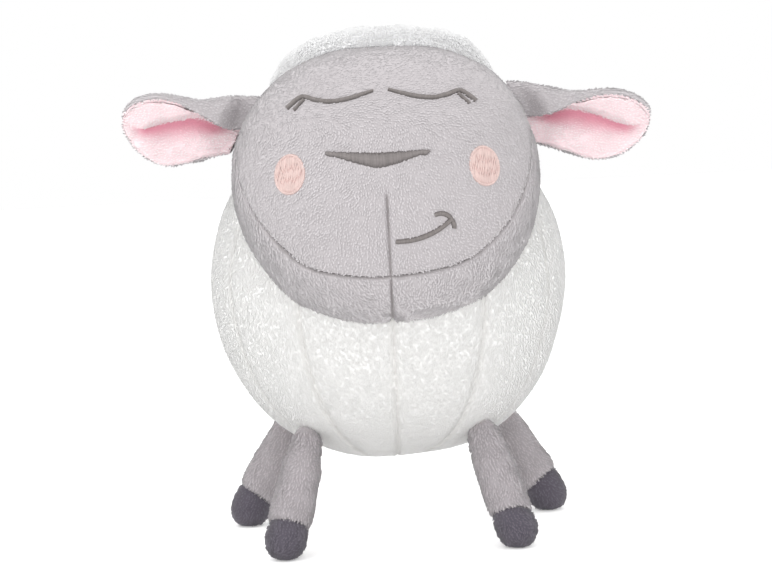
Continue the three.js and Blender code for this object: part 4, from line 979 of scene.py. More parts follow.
# %% Wool
WOOL_GAP = -1.5  # its cover is sewn down into the plush
WOOL_ROWS = 26
WOOL_PILE = 1.0  # how far the tufts stand out of the cover
WOOL_OVER = 6.5  # the fleece is combed up at its shoulders by this much
WOOL_SKIRT = 1.1  # height of the thin skirt that falls over the seam
WOOL_SKIRT_FROM = 0.965
WOOL_SHARES = np.array([*np.linspace(0.02, 0.88, WOOL_ROWS - 6), 0.91, 0.935, 0.955, 0.97, 0.985, 1.0])
WOOL_COLUMNS = 120
WOOL_SQUARENESS = (6, 2.2)  # how square its edge is in front, and how much rounder at the sides


def wool_edge_angle(around):
    """How far from the wool's pole its edge lies, at each turn about the pole."""
    low, high = np.zeros_like(around), np.full_like(around, math.pi / 2)
    for _ in range(24):
        middle = (low + high) / 2
        directions = wool_directions(middle, around)
        above = above_hairline(head_surface(directions)) > 0
        low, high = np.where(above, middle, low), np.where(above, high, middle)
    return low


def wool_directions(angle, around):
    sine = np.sin(angle)[..., None]
    sideways = np.cos(around)[..., None] * WOOL_FRONT + np.sin(around)[..., None] * ACROSS
    return np.cos(angle)[..., None] * WOOL_POLE + sine * sideways


def wool_grid():
    """The fleece is the same all over the head, also where the stuffing under it is slack."""
    around = np.linspace(0, 2 * math.pi, WOOL_COLUMNS, endpoint=False)
    edge = wool_edge_angle(around)
    square, rounder = WOOL_SQUARENESS
    rows = []
    for share in WOOL_SHARES:
        directions = wool_directions(share * edge, around)
        round_head = HEAD_MIDDLE + directions / head_share(HEAD_MIDDLE + directions)[..., None]
        under = head_surface(directions) * share**3 + round_head * (1 - share**3)
        full = np.sqrt(1 - min(1.0, share / WOOL_SKIRT_FROM) ** (square - rounder * np.abs(np.sin(around))))
        top = WOOL_THICKNESS - WOOL_PILE + WOOL_OVER * smooth(15, 42, np.abs(under @ ACROSS))
        skirt = WOOL_GAP + (WOOL_SKIRT - WOOL_GAP) * (1 - smooth(WOOL_SKIRT_FROM, 1.0, share))
        height = np.maximum(WOOL_GAP + (top - WOOL_GAP) * full, skirt)
        rows.append(under + directions * height[:, None])
    for share in np.linspace(0.96, 0.04, WOOL_ROWS // 2):
        directions = wool_directions(share * edge, around)
        rows.append(head_surface(directions) + directions * WOOL_GAP)
    return np.array(rows)


wool_cover = grid_object("wool_cover", wool_grid())
subdivide(wool_cover)


def wool_outside(points):
    """How far points stand off the head, from 0 at the head to 1 at the wool's full height."""
    local = points - HEAD_MIDDLE
    distance = np.linalg.norm(local, axis=1)
    return smooth(2, 6, distance - distance / head_share(points))


def make_lumps(piece, size, height, seed):
    """Raises a piece in soft lumps with creases between them."""
    points = get_points(piece.data)
    normals = get_normals(piece.data)
    cells = np.array([noise.voronoi(Vector(p) / size + Vector((seed, 0, 0)))[0][0] for p in points])
    rise_of = height * (0.45 - cells) * wool_outside(points)
    set_points(piece.data, points + normals * rise_of[:, None])


make_lumps(wool_cover, size=13.0, height=0.9, seed=4)
ripple(wool_cover, size=8.0, height=0.5, seed=8)


def wool_nap(points, normals):
    """The fleece turns every way, and over its edge it falls down to the plush."""
    edge = 1 - wool_outside(points)
    return (2.0 - 1.5 * edge)[:, None] * stir(points, 5.0, 31) + 0.2 * normals - np.outer(1.6 * edge, WOOL_POLE)


def wool_growth(points, normals):
    """The fleece is full all over and a little longer where its edge falls over the seam."""
    outwards = np.sum(normals * unit(points - HEAD_MIDDLE), axis=1)
    return (1.1 - 0.1 * wool_outside(points)) * (outwards > -0.75) * np.where(inside_ball(points, -1.0), 0, 1)


wool_tufts = pile(
    wool_cover,
    FLEECE,
    wool_nap,
    spacing=0.64,
    length=0.72,
    width=0.56,
    stand=5.0,
    swirl=0.2,
    bend=0.1,
    grow=wool_growth,
    seed=41,
)
dress(wool_cover, FLEECE, 0.4, [wool_tufts], softness=0.985)

# %% [markdown]
# ## Embroidery
# Every feature of the face is machine embroidery: satin stitch, where one thread runs back and forth across the
# shape. Each stitch is laid as a short arc that dips into the cloth at both ends. One Geometry Nodes tree turns
# all the arcs into thread. The ends lie deeper and are painted in shade, and each thread has its own slight
# shade.

# %% Thread tree


def thread_tree():
    """Lays a thread along each run of edges."""
    tree, given, out = new_tree("lay_thread", {"Radius": "Float", "Material": "Material"})
    routes = add(tree, "GeometryNodeMeshToCurve", {"Mesh": given["Geometry"]})
    section = add(tree, "GeometryNodeCurvePrimitiveCircle", {"Resolution": 5, "Radius": given["Radius"]})
    laid = {"Curve": routes, "Profile Curve": section, "Fill Caps": True}
    return hand_out(tree, add(tree, "GeometryNodeCurveToMesh", laid), given, out)


THREAD = thread_tree()


def thread_finish(name, deep, crown):
    """Trilobal polyester thread: satin, a little glossy, with painted shade where it dives into the cloth."""
    made, tree, shader = start_material(
        name, Roughness=0.55, Specular_IOR_Level=0.35, Sheen_Weight=0.15, Sheen_Roughness=0.4
    )
    height, shade = (
        add(tree, "ShaderNodeAttribute", attribute_name=held).outputs["Fac"] for held in ("crown", "shade")
    )
    # Painted shade: the colour runs from the shade colour at a stitch's sunk ends to the crown colour at its
    # top.
    ramp = add(tree, "ShaderNodeMix", {0: height, 6: linear(deep), 7: linear(crown)}, data_type="RGBA")
    lift = add(tree, "ShaderNodeMapRange", {0: shade, 3: 0.9, 4: 1.1})
    tint = add(tree, "ShaderNodeVectorMath", {0: ramp.outputs[2], "Scale": lift}, operation="SCALE")
    tree.links.new(tint.outputs[0], shader.inputs["Base Color"])
    return made


GREY_THREAD = thread_finish("grey_satin_thread", "#4b4645", "#827c7a")
NOSE_THREAD = thread_finish("nose_satin_thread", "#524d4c", "#86807f")
PINK_THREAD = thread_finish("pink_satin_thread", "#d0b3ae", "#d5beb9")

# %% Stitches
STITCH_POINTS = 5
# Painted shade: a stitch's low ends get the thread's darker shade colour, its crown the lighter one.
CROWN_SHARES = [0, 0.8, 1, 0.8, 0]  # how high each point of a stitch lies, for its colour
THREAD_RADIUS = 0.25


def stitch(start, end, crown_height, sink=0.5):
    """One stitch as points in space, between two places on the face, over a low arc."""
    route = []
    for share in np.linspace(0, 1, STITCH_POINTS):
        place = np.array(start) * (1 - share) + np.array(end) * share
        arc = 1 - (2 * share - 1) ** 4
        route.append(on_face(*place, lift=(crown_height + sink) * arc - sink))
    return np.array(route)


def embroider(name, stitches, finish, radius, seed):
    """All the stitches of one feature as one piece of thread work."""
    generator = np.random.default_rng(seed)
    count = STITCH_POINTS
    edges = [(s * count + i, s * count + i + 1) for s in range(len(stitches)) for i in range(count - 1)]
    mesh = bpy.data.meshes.new(name)
    mesh.from_pydata((np.concatenate(stitches) * MM).tolist(), edges, [])
    put_attribute(mesh, "crown", np.tile(CROWN_SHARES, len(stitches)))
    put_attribute(mesh, "shade", np.repeat(generator.uniform(0, 1, len(stitches)), count))
    piece = run_tree(new_object(name, mesh), THREAD, Radius=radius * MM, Material=finish)
    print(name, len(stitches), "stitches,", len(piece.data.polygons), "faces")
    return piece


def along_line(line, pitch):
    """At even steps along a line on the face: places, sideways directions and shares of its length."""
    steps = np.linalg.norm(np.diff(line, axis=0), axis=1)
    travelled = np.concatenate([[0], np.cumsum(steps)])
    wanted = np.arange(0, travelled[-1], pitch)
    places = np.stack([np.interp(wanted, travelled, line[:, k]) for k in (0, 1)], axis=1)
    heading = np.gradient(places, axis=0)
    heading /= np.linalg.norm(heading, axis=1, keepdims=True)
    return places, np.stack([-heading[:, 1], heading[:, 0]], axis=1), wanted / travelled[-1]


def satin_line(line, width, crown, seed, narrow=0.5):
    """Satin stitches across a line, which starts at a share of its width."""
    generator = np.random.default_rng(seed)
    stitches = []
    for place, sideways, share in zip(*along_line(line, SATIN_PITCH)):
        half = width / 2 * (narrow + (1 - narrow) * min(1, share * 5)) * generator.uniform(0.92, 1.08)
        slant = np.array([sideways[1], -sideways[0]]) * STITCH_SLANT
        stitches.append(stitch(place + sideways * half + slant, place - sideways * half - slant, crown))
    return stitches


# %% Nose, cheeks, eyes and mouth
SATIN_PITCH = 0.36
STITCH_SLANT = 0.15
NOSE_UNEVEN = 0.25  # how far the ends of its stitches miss its outline
CHEEK_STITCH = 2.4  # a cheek is too high for one stitch, so it is filled with rows of about this length
CHEEK_RIM = 1.0  # the width of the border round it


def nose_stitches():
    generator = np.random.default_rng(51)
    stitches = []
    for x in np.arange(-NOSE_HALF_WIDTH + 0.3, NOSE_HALF_WIDTH - 0.2, SATIN_PITCH):
        top, bottom = nose_edges(x)
        above, below = generator.uniform(-NOSE_UNEVEN, NOSE_UNEVEN, 2)
        upper_end, lower_end = (NOSE_X + x, top + 0.2 + above), (NOSE_X + x + 0.1, bottom - 0.2 + below)
        stitches.append(stitch(upper_end, lower_end, 0.9))
    return stitches


def cheek_stitches(side):
    generator = np.random.default_rng(53 + side)
    stitches = []
    for x in np.arange(-CHEEK_HALF_WIDTH + 0.4, CHEEK_HALF_WIDTH - 0.3, SATIN_PITCH):
        half = CHEEK_HALF_HEIGHT * math.sqrt(1 - (x / CHEEK_HALF_WIDTH) ** 2) - CHEEK_RIM / 2
        cuts = np.linspace(-half, half, max(2, round(half / CHEEK_STITCH)) + 1)
        cuts[1:-1] += generator.uniform(-1.6, 1.6, len(cuts) - 2)
        for low, high in zip(cuts[:-1], cuts[1:]):
            if high - low > 0.3:
                place = cheek_place(side) + (x, 0)
                stitches.append(stitch(place + (0, low), place + (0.12, high), 0.4, sink=0.0))
    turn_angle = np.linspace(0, 2 * math.pi, 100)
    half_sizes = np.array([CHEEK_HALF_WIDTH, CHEEK_HALF_HEIGHT]) - CHEEK_RIM / 2
    rim = np.stack([np.cos(turn_angle), np.sin(turn_angle)], axis=1) * half_sizes
    return stitches + satin_line(rim + cheek_place(side), CHEEK_RIM, 0.45, seed=57, narrow=1.0)


embroidery = {"nose_stitching": embroider("nose_thread", nose_stitches(), NOSE_THREAD, THREAD_RADIUS, 61)}
for side_name, side in (("left", -1), ("right", 1)):
    lid = satin_line(eye_line(side), LINE_WIDTH, 0.9, seed=63)
    lid += satin_line(inner_lash(side), 1.3, 0.8, seed=65, narrow=1.0)
    embroidery["eye_" + side_name] = embroider("eye_thread_" + side_name, lid, GREY_THREAD, THREAD_RADIUS, 67)
    embroidery["cheek_" + side_name] = embroider(
        "cheek_thread_" + side_name, cheek_stitches(side), PINK_THREAD, THREAD_RADIUS, 69
    )
mouth = [s for line in mouth_lines() for s in satin_line(line, LINE_WIDTH, 0.7, seed=71, narrow=0.85)]
embroidery["mouth_stitching"] = embroider("mouth_thread", mouth, GREY_THREAD, THREAD_RADIUS, 73)

# %% [markdown]
# ## Ears
# An ear is a leaf of grey plush lined with pink. It is rolled over itself where it is sewn to the head, and
# opens towards the tip. Its cross-section at the root and its open one are given as points, and the sections
# between are blends of the two. A closed loop round each section, station after station, makes the padded leaf.

# %% Ear shape
EAR_LENGTHS = {-1: 49.3, 1: 53.0}  # they aren't cut quite alike
EAR_HEIGHT = 31.0
CLOTH_SHARE = 0.91  # of that height, as the cloth's thickness and pile take the rest
EAR_ROOT_BACK = 4.0
EAR_ROOT_RISE = 34.0
EAR_SWEEP = math.radians(7.0)
EAR_TURNS = {-1: math.radians(4.5), 1: math.radians(7.0)}  # lifts the one ear and lets the other hang
EAR_LIFTS = {-1: 2.3, 1: 0.6}
EAR_STANDOFF = 2.5
EAR_FORWARD = 1.5
EAR_PINCH = 0.3
PINCHED_FOR = 0.2  # of its length
EAR_OPENS_AT = 0.72
LOWER_OPENS_AT = 0.5  # the leaf's lower half opens sooner
LOWER_CLOSES_FROM = 0.48
LEAST_SECTION = 0.02  # at the tip
SECTION_RISES = {
    "root": [-0.42, -0.36, -0.25, -0.08, 0.1, 0.27, 0.36, 0.29, 0.14, -0.05],
    "open": [-0.62, -0.54, -0.41, -0.27, -0.12, 0.03, 0.17, 0.29, 0.36, 0.34],
}
SECTION_FORWARDS = {
    "root": [0.08, 0.05, 0.02, 0, 0.01, 0.05, 0.14, 0.24, 0.28, 0.26],
    "open": [0.11, 0.075, 0.04, 0.01, 0, 0.01, 0.03, 0.065, 0.11, 0.17],
}
ROOT_SECTION, OPEN_SECTION = (
    np.stack([SECTION_FORWARDS[end], SECTION_RISES[end]], axis=1) for end in ("root", "open")
)


def ear_root(side):
    """Where an ear is sewn to the head, and how the head's side leans there."""

    def on_side(rise_by):
        aside = np.array([side * HEAD_HALF_WIDTH, 0, 0])
        direction = unit(aside + rise_by * FACE_UP - EAR_ROOT_BACK * FACE_OUT)
        return direction / head_share(HEAD_MIDDLE + direction, grown=EAR_STANDOFF)

    upper = on_side(EAR_ROOT_RISE + EAR_HEIGHT / 3)
    lower = on_side(EAR_ROOT_RISE - EAR_HEIGHT / 3)
    sewn = on_side(EAR_ROOT_RISE)
    place = HEAD_MIDDLE + sewn * stuffing(sewn) + (0, -EAR_FORWARD, EAR_LIFTS[side])
    return place, side * (upper[0] - lower[0]) / (upper[2] - lower[2])


def rounded_end(along, start, power):
    """The leaf's width as a share, which closes round its tip from a start."""
    return max(0.0, 1 - max(0.0, (along - start) / (1 - start)) ** 2) ** power


def ear_section(along, across):
    """A section of the ear, as places forward of its back and up, at one share of its length."""
    lower = smooth(0.6, 0.3, across)[:, None]
    opened = smooth(0, EAR_OPENS_AT, along) * (1 - lower) + smooth(-0.2, LOWER_OPENS_AT, along) * lower
    pinch = EAR_PINCH + (1 - EAR_PINCH) * smooth(0, PINCHED_FOR, along)
    upper_end, lower_end = rounded_end(along, EAR_OPENS_AT, 0.5), rounded_end(along, LOWER_CLOSES_FROM, 0.6)
    closing = upper_end * (1 - lower) + lower_end * lower
    section = spline(ROOT_SECTION, across) * (1 - opened) + spline(OPEN_SECTION, across) * opened
    return section * (closing + LEAST_SECTION) * (EAR_HEIGHT * pinch, EAR_HEIGHT * CLOTH_SHARE)


# %% [markdown]
# The pink lining is softer and fuller than the back. It rolls forward under the ear's upper edge and leaves a
# crease under the roll, which runs from the root almost to the tip. Deep in the crease the pink looks stronger,
# because light has bounced between pink surfaces there, so the mesh keeps how deep each point lies, and a
# stronger pink is painted there as painted shade and painted reflection.

# %% Ear layers
ROLL_PUFF = 2.8
LOBE_PUFF = 1.5  # of the softer fold under the crease
ROLL_HANG = 1.5


def bulge(place, middle, reach):
    """1 at the middle of a fold of the lining, and less either side of it."""
    return np.exp(-(((place - middle) / reach) ** 2))


def along_the_crease(along):
    return smooth(-0.05, 0.2, along) * (1 - smooth(0.78, 0.98, along))


def above_crease(along, across):
    """How far across an ear a place lies above its crease, which turns down towards the tip."""
    return across - 0.34 - 0.17 * smooth(0, 0.45, along) + 0.12 * smooth(0.55, 0.95, along)


def lining_puff(along, across):
    """How much fuller the lining is than a flat cloth. The roll is steep below and long above."""
    above = above_crease(along, across)
    roll = ROLL_PUFF * bulge(above, 0.14, np.where(above < 0.14, 0.06, 0.45)) * smooth(0.05, 0.4, along)
    lobe = LOBE_PUFF * bulge(above, -0.29, 0.16)
    return (roll + lobe) * along_the_crease(along)


def lining_hang(along, across):
    """How far the roll's front hangs down over the crease."""
    hang = ROLL_HANG * bulge(above_crease(along, across), 0.08, 0.05)
    return hang * smooth(0.05, 0.4, along) * along_the_crease(along)


# How strongly the ear's crease is painted with shade and bounced pink.
def crease_painted_shade(along, across):
    above = above_crease(along, across)
    reach = 0.04 + 0.11 * smooth(0, 0.5, along)
    return smooth(0.06, 0.01, above) * bulge(np.minimum(above, 0), 0, reach) * along_the_crease(along)


def flat_cloth(along, across):
    return np.zeros_like(across)


RIM = [(math.cos(angle), math.sin(angle)) for angle in np.radians([-60, -20, 20, 60])]  # its rounded edge


def ear_layer(name, side, inner, outer, first, last, puff=flat_cloth, hang=flat_cloth, spread=1.0, samples=48):
    """One layer of an ear's cloth between two skins. spread makes a layer a little wider than the ear."""
    place, slope = ear_root(side)
    half = (outer - inner) / 2
    across = np.linspace(0, 1, samples)
    rows, deep = [], []
    for along in [*np.linspace(first, 0.9, 36), 0.92, 0.94, 0.955, 0.968, 0.979, 0.988, last]:
        here = ear_section(along, across) * (spread - 0.06 * smooth(0.6, 0.1, along) * (spread > 1))
        ahead = ear_section(along, np.minimum(across + 0.01, 1))
        behind = ear_section(along, np.maximum(across - 0.01, 0))
        tangent = unit(ahead - behind)
        outward = np.stack([-tangent[:, 1], tangent[:, 0]], axis=1)
        back = here + outward * outer
        front = here + outward * (inner - puff(along, across))[:, None] - tangent * hang(along, across)[:, None]
        middle = here + outward * (inner + outer) / 2
        low_rim, high_rim = (
            [middle[end] + way * half * (tangent[end] * cosine - outward[end] * sine) for cosine, sine in RIM]
            for end, way in ((0, -1), (-1, 1))
        )
        loop = np.vstack([back, high_rim, front[::-1], low_rim])
        out = along * EAR_LENGTHS[side] + (1 - along) * loop[:, 1] * slope
        rows.append(np.stack([side * out, EAR_FORWARD - loop[:, 0], loop[:, 1]], axis=1))
        # Painted shade and reflection in the crease, on the lining's front only.
        depth = crease_painted_shade(along, across)[::-1]
        deep.append(np.concatenate([np.zeros(samples + 4), depth, np.zeros(4)]))
    turned = Matrix.Rotation(-side * EAR_SWEEP, 3, "Z") @ Matrix.Rotation(EAR_TURNS[side], 3, "Y")
    piece = grid_object(name, np.array(rows) @ np.array(turned).T + place)
    put_attribute(piece.data, "deep", [*np.concatenate(deep), 0, 0])
    return piece


ears = {}
linings = {}
for side_name, side in (("left", -1), ("right", 1)):
    ear = ear_layer("ear_cover_" + side_name, side, 0.0, 1.6, first=-0.08, last=0.995)
    ripple(ear, size=12.0, height=0.5, seed=20 + side)
    puffed = {"puff": lining_puff, "hang": lining_hang, "spread": 1.03, "samples": 64}
    lining = ear_layer("ear_pink_" + side_name, side, -1.5, -0.1, first=-0.06, last=0.996, **puffed)
    ripple(lining, size=9.0, height=0.6, seed=30 + side)
    for made, layer, finish, seed in ((ears, ear, GREY_PLUSH, 81), (linings, lining, PINK_PLUSH, 83)):
        nap = brushed([side * 1.0, 0.0, -0.15], 0.0)  # out towards the ear's tip
        tufts = pile(layer, finish, nap, PLUSH_SPACING, 0.9, 0.5, stand=1.3, swirl=0.4, seed=seed)
        made[side_name] = dress(layer, finish, 0.3, [tufts])

# %% [markdown]
# ## Legs and hooves
# Each leg is a stuffed tube that hangs from its hip and stands on the floor, with a darker plush hoof sewn to
# its end. Tube and hoof are turned round the leg's own axis, and the pile runs down the leg.

# %% Leg places
HIP_RADIUS = 5.4
HIP_STANDOFF = 3.4
LEG_RADIUS = 9.3
HOOF_RADIUS = 9.0
HOOF_LENGTH = 16.0
FLAT_CUT = 0.5
LEG_PILE = 0.4  # how far the pile stands out of the cloth
LEG_COLUMNS = 40
# How far each stuffed leg has shifted sideways at its root and its foot, and how far its hoof's seam is drawn
# up on the outer side
LEG_SHIFTS = {
    "front_left": (2.2, 1.6),
    "front_right": (-4.5, -3.0),
    "rear_left": (4.0, 0.0),
    "rear_right": (-4.0, 0.0),
}
SEAM_SLANTS = {"front_left": 0.0, "front_right": -1.2, "rear_left": 2.6, "rear_right": 2.6}
SLANT_ABOVE = 14  # the slant fades out over this length up the leg
SLANT_BELOW = 2  # and between this far under the seam and this far above the hoof's end


def leg_plan(side, end, azimuth, polar, splay, lean):
    """A leg's hip, its direction and its length, from where it leaves the ball. The angles are in degrees."""
    azimuth, polar, splay, lean = (math.radians(angle) for angle in (azimuth, polar, splay, lean))
    across, along = side * math.sin(polar) * math.sin(azimuth), end * math.sin(polar) * math.cos(azimuth)
    direction = np.array([across, along, -math.cos(polar)])
    hip = direction * (BALL_RADIUS + HIP_STANDOFF)
    axis = unit(np.array([side * math.tan(splay), -math.tan(lean), -1.0]))
    length = HOOF_RADIUS + (BALL_MIDDLE[2] + hip[2] - HOOF_RADIUS + FLAT_CUT) / -axis[2]
    return BALL_MIDDLE + hip, axis, length


LEGS = {}
for side_name, side in (("left", -1), ("right", 1)):
    LEGS["front_" + side_name] = leg_plan(side, -1, 50, 40, 15, 30)
    LEGS["rear_" + side_name] = leg_plan(side, 1, 56, 44, 25, 9)


def lathe_rows(leg_name, profile):
    """Rings about a leg's axis from [radius, distance] pairs."""
    hip, axis, length = LEGS[leg_name]
    root, foot = LEG_SHIFTS[leg_name]
    ankle = length - HOOF_LENGTH
    sideways = unit(np.cross(axis, [0.0, 1.0, 0.0]))
    forward = np.cross(axis, sideways)
    angles = np.linspace(0, 2 * math.pi, LEG_COLUMNS, endpoint=False)
    ring = np.cos(angles)[:, None] * sideways + np.sin(angles)[:, None] * forward
    outer = ring @ np.array([np.sign(axis[0]), 0.0, 0.0])
    rows = []
    for radius, distance in profile:
        middle = hip + axis * distance
        middle[0] += root + (foot - root) * smooth(0, length, distance)
        slant = SEAM_SLANTS[leg_name] * smooth(ankle - SLANT_ABOVE, ankle, distance)
        slant = slant * (1 - smooth(ankle + SLANT_BELOW, length - SLANT_BELOW, distance))
        rows.append(middle + ring * radius - axis * (slant * radius / HOOF_RADIUS * outer)[:, None])
    return np.array(rows)


def smooth_profile(points, samples):
    points = np.array(points, float)
    return spline(points, np.linspace(0, 1, samples))


def leg_profile(length):
    """The leg from its closed top, inside the ball, down to where it turns in at the hoof's seam."""
    ankle = length - HOOF_LENGTH
    hip = HIP_RADIUS - LEG_PILE
    full = LEG_RADIUS - LEG_PILE
    return [
        (0.6, -hip),
        (hip * 0.55, -hip * 0.85),
        (hip, -hip * 0.2),
        (hip + 0.5 * (full - hip), ankle * 0.2),
        (hip + 0.85 * (full - hip), ankle * 0.45),
        (full, ankle * 0.75),
        (full, ankle * 0.93),
        (full - 0.9, ankle),
        (full - 3.0, ankle + 0.1),
        (1.0, ankle + 0.1),
    ]


def hoof_profile(length):
    """The hoof from its seam down to its round toe."""
    start = length - HOOF_LENGTH
    full = HOOF_RADIUS - LEG_PILE
    middle = length - HOOF_RADIUS
    seam = [(1.0, start + 0.3), (full - 3, start + 0.3), (full - 1.3, start + 0.4), (full - 0.3, start + 2.5)]
    turns = np.radians([12, 30, 48, 64, 78, 87])
    toe = [(full * math.cos(a), middle + (full + 0.6) * math.sin(a)) for a in turns]
    return [*seam, (full, middle), *toe]


def flatten_foot(piece):
    """The hoof is flat where it stands on the floor."""
    points = get_points(piece.data)
    points[:, 2] = np.maximum(points[:, 2], 0.2)
    set_points(piece.data, points)


def leg_growth(hip, axis):
    """The pile starts where the leg leaves the ball, and a longer fringe of it covers the seam there."""

    def grow(points, normals):
        down = (points - hip) @ axis
        fringe = 1 + 0.25 * (1 - smooth(2, 14, down))
        return fringe * smooth(-2, 1, down)

    return grow


def hoof_growth(points, normals):
    """No pile is squeezed in under the flat of the hoof."""
    return smooth(0.3, 1.5, points[:, 2])


legs = {}
hooves = {}
for leg_name, (hip, axis, length) in LEGS.items():
    nap = brushed(axis, PILE_LIFT)
    cover = grid_object("leg_cover_" + leg_name, lathe_rows(leg_name, smooth_profile(leg_profile(length), 30)))
    ripple(cover, size=9.0, height=0.7, seed=length)
    down = leg_growth(hip, axis)
    tufts = pile(cover, LEG_PLUSH, nap, PLUSH_SPACING, 1.3, 0.45, 1.1, 0.35, seed=91, grow=down)
    legs[leg_name] = dress(cover, LEG_PLUSH, 0.8, [tufts])
    foot = grid_object("hoof_cover_" + leg_name, lathe_rows(leg_name, smooth_profile(hoof_profile(length), 26)))
    flatten_foot(foot)
    tufts = pile(foot, HOOF_PLUSH, nap, PLUSH_SPACING, 1.1, 0.45, 1.4, 0.6, seed=93, grow=hoof_growth)
    hooves[leg_name] = dress(foot, HOOF_PLUSH, 0.8, [tufts])

# %% [markdown]
# ## Wadding
# Polyester fibrefill holds every cover out. It only shows where a seam is open, but a stuffed piece has to be
# full of something, so the head and the ball each hold a soft, uneven lump that rests just under the cloth.

# %% Wadding
WADDING_GAP = 2.2  # between the cloth's outside and the fibres under it


def wadding_finish():
    """Crimped polyester fibre, white and matt. Its fibres show as fine crossing ridges, with painted shade
    between them.
    """
    made, tree, shader = start_material("polyester_fibrefill", Roughness=0.95, Sheen_Weight=0.3)
    place = add(tree, "ShaderNodeTexCoord").outputs["Object"]
    crimp = {"Vector": place, "Scale": 1 / (1.5 * MM), "Detail": 4.0, "Distortion": 3.0}
    fibres = add(tree, "ShaderNodeTexNoise", crimp).outputs["Fac"]
    # Painted shade: the low parts of the fibres' relief are painted a darker white.
    ramp = {0: fibres, 6: linear("#e6e6e4"), 7: linear("#fcfcfb")}
    tree.links.new(add(tree, "ShaderNodeMix", ramp, data_type="RGBA").outputs[2], shader.inputs["Base Color"])
    bump = add(tree, "ShaderNodeBump", {"Height": fibres, "Strength": 0.8, "Distance": 0.6 * MM})
    tree.links.new(bump.outputs[0], shader.inputs["Normal"])
    return made


WADDING = wadding_finish()


def lump(name, rows):
    """Uneven fibrefill from rows of points just inside a cover."""
    piece = ripple(grid_object(name, rows), size=14.0, height=0.7, seed=9)
    piece.data.materials.append(WADDING)
    shade_smooth(piece)
    return piece


def rest_on_ball(points, radius):
    """Points inside the ball come back to its surface, along lines from a place in the head above it."""
    anchor = BALL_MIDDLE + unit(HEAD_MIDDLE - BALL_MIDDLE) * (radius + 20.0)
    ray, start = points - anchor, anchor - BALL_MIDDLE
    a, b, c = np.sum(ray**2, axis=-1), np.sum(ray * start, axis=-1), np.sum(start**2) - radius**2
    share = (-b - np.sqrt(np.maximum(b**2 - a * c, 0))) / a
    inside = np.linalg.norm(points - BALL_MIDDLE, axis=-1) < radius
    return np.where(inside[..., None], anchor + ray * share[..., None], points)


SEAM_INSET = 2.0  # the wadding lies this much deeper under the head's seams
HEAD_CLEARANCE = 0.8  # between the head's wadding and the ball


def head_filling():
    """The head's lump follows its slack and full parts, and rests on the ball."""
    tilts, turns = np.radians(np.linspace(2, 178, 60)), np.radians(np.arange(0, 360, 4))
    angle, around = np.meshgrid(tilts, turns, indexing="ij")
    sideways = np.cos(around)[..., None] * FACE_UP + np.sin(around)[..., None] * ACROSS
    directions = np.cos(angle)[..., None] * FACE_OUT + np.sin(angle)[..., None] * sideways
    points = head_surface(directions)
    inset = HEAD_PILE + WADDING_GAP + SEAM_INSET * np.exp(-((head_seam_distance(points) / 4) ** 2))
    return rest_on_ball(points - directions * inset[..., None], BALL_RADIUS + HEAD_CLEARANCE)


head_wadding = lump("head_fibrefill", head_filling())

# %% [markdown]
# ## The pocket
# The light unit sits in a knitted pocket, open at the back. A folded binding with a line of top stitching is
# sewn round the opening and is drawn in a little, so that it grips the unit. Cup, binding and the wadding round
# them are all turned about the unit's own axis.

# %% Pocket sizes and finishes
POCKET_BOTTOM = pocket_low.y / MM + LINER_THICKNESS
POCKET_REAR = pocket_high.y / MM
HEM_HALF_DEPTH = 2.1
HEM_DROP = 1.3  # its middle lies this much under the ball's surface
HEM_STITCHES = 96
STITCH_WAVE = 0.3 * np.array([-1.2, 0.4, 0.8, 0.4, -1.2])  # how a stitch rises out of the binding
LINER_WALL = 0.8
LINER_CORNER = 3.0


def knit_finish(name, colour, loop_shade, loop_size):
    """Weft-knitted polyester: tiny loops in columns, matt, with painted shade between them."""
    made, tree, shader = start_material(name, Roughness=0.9, Sheen_Weight=0.2, Specular_IOR_Level=0.15)
    place = add(tree, "ShaderNodeTexCoord").outputs["Object"]
    columns = {"Vector": place, "Scale": 1 / (loop_size * MM), "Randomness": 0.35}
    loops = add(tree, "ShaderNodeTexVoronoi", columns).outputs["Distance"]
    # Painted shade: the colour darkens towards the shade colour between the loops.
    ramp = {0: loops, 6: linear(colour), 7: linear(loop_shade)}
    tree.links.new(add(tree, "ShaderNodeMix", ramp, data_type="RGBA").outputs[2], shader.inputs["Base Color"])
    relief = {"Height": loops, "Strength": 0.6, "Distance": 0.25 * MM}
    tree.links.new(add(tree, "ShaderNodeBump", relief, invert=True).outputs[0], shader.inputs["Normal"])
    return made


BINDING = knit_finish("polyester_binding", "#eceae6", "#cfccc6", 0.7)
LINER_KNIT = knit_finish("knitted_pocket", "#e8e6e2", "#c9c6c0", 0.9)
BINDING_THREAD = thread_finish("binding_thread", "#b9b5ae", "#e9e7e2")


def turned_rows(profile, wave, around=192):
    """Rings about the unit's axis from (radius, depth) pairs. wave adds to the radius at each turn."""
    angles = np.linspace(0, 2 * math.pi, around, endpoint=False)
    rows = []
    for number, (radius, depth) in enumerate(profile):
        reach = radius + wave(angles, number)
        rows.append(np.stack([reach * np.cos(angles), np.full(around, depth), reach * np.sin(angles)], axis=1))
    return np.array(rows) + (BALL_MIDDLE[0], 0, BALL_MIDDLE[2])


def join_ends(shape):
    bmesh.ops.remove_doubles(shape, verts=shape.verts, dist=0.001 * MM)
    face_outwards(shape)


def closed_ring(name, rows):
    """A ring whose cross-section closes on itself: the last row of points meets the first."""
    rows = np.concatenate([rows, rows[:1]])
    return edit_mesh(grid_object(name, rows, closed_top=False, closed_bottom=False), join_ends)


# %% Hem
def gathers(angles, number):
    """The binding is drawn in on its elastic, so small folds run across it. They only go outwards."""
    folds = 0.5 + 0.5 * np.sin(58 * angles + 1.5 * np.sin(5 * angles)) * np.sin(9 * angles + 1)
    return 0.35 * folds * (1 if 3 < number < 13 else 0.3)


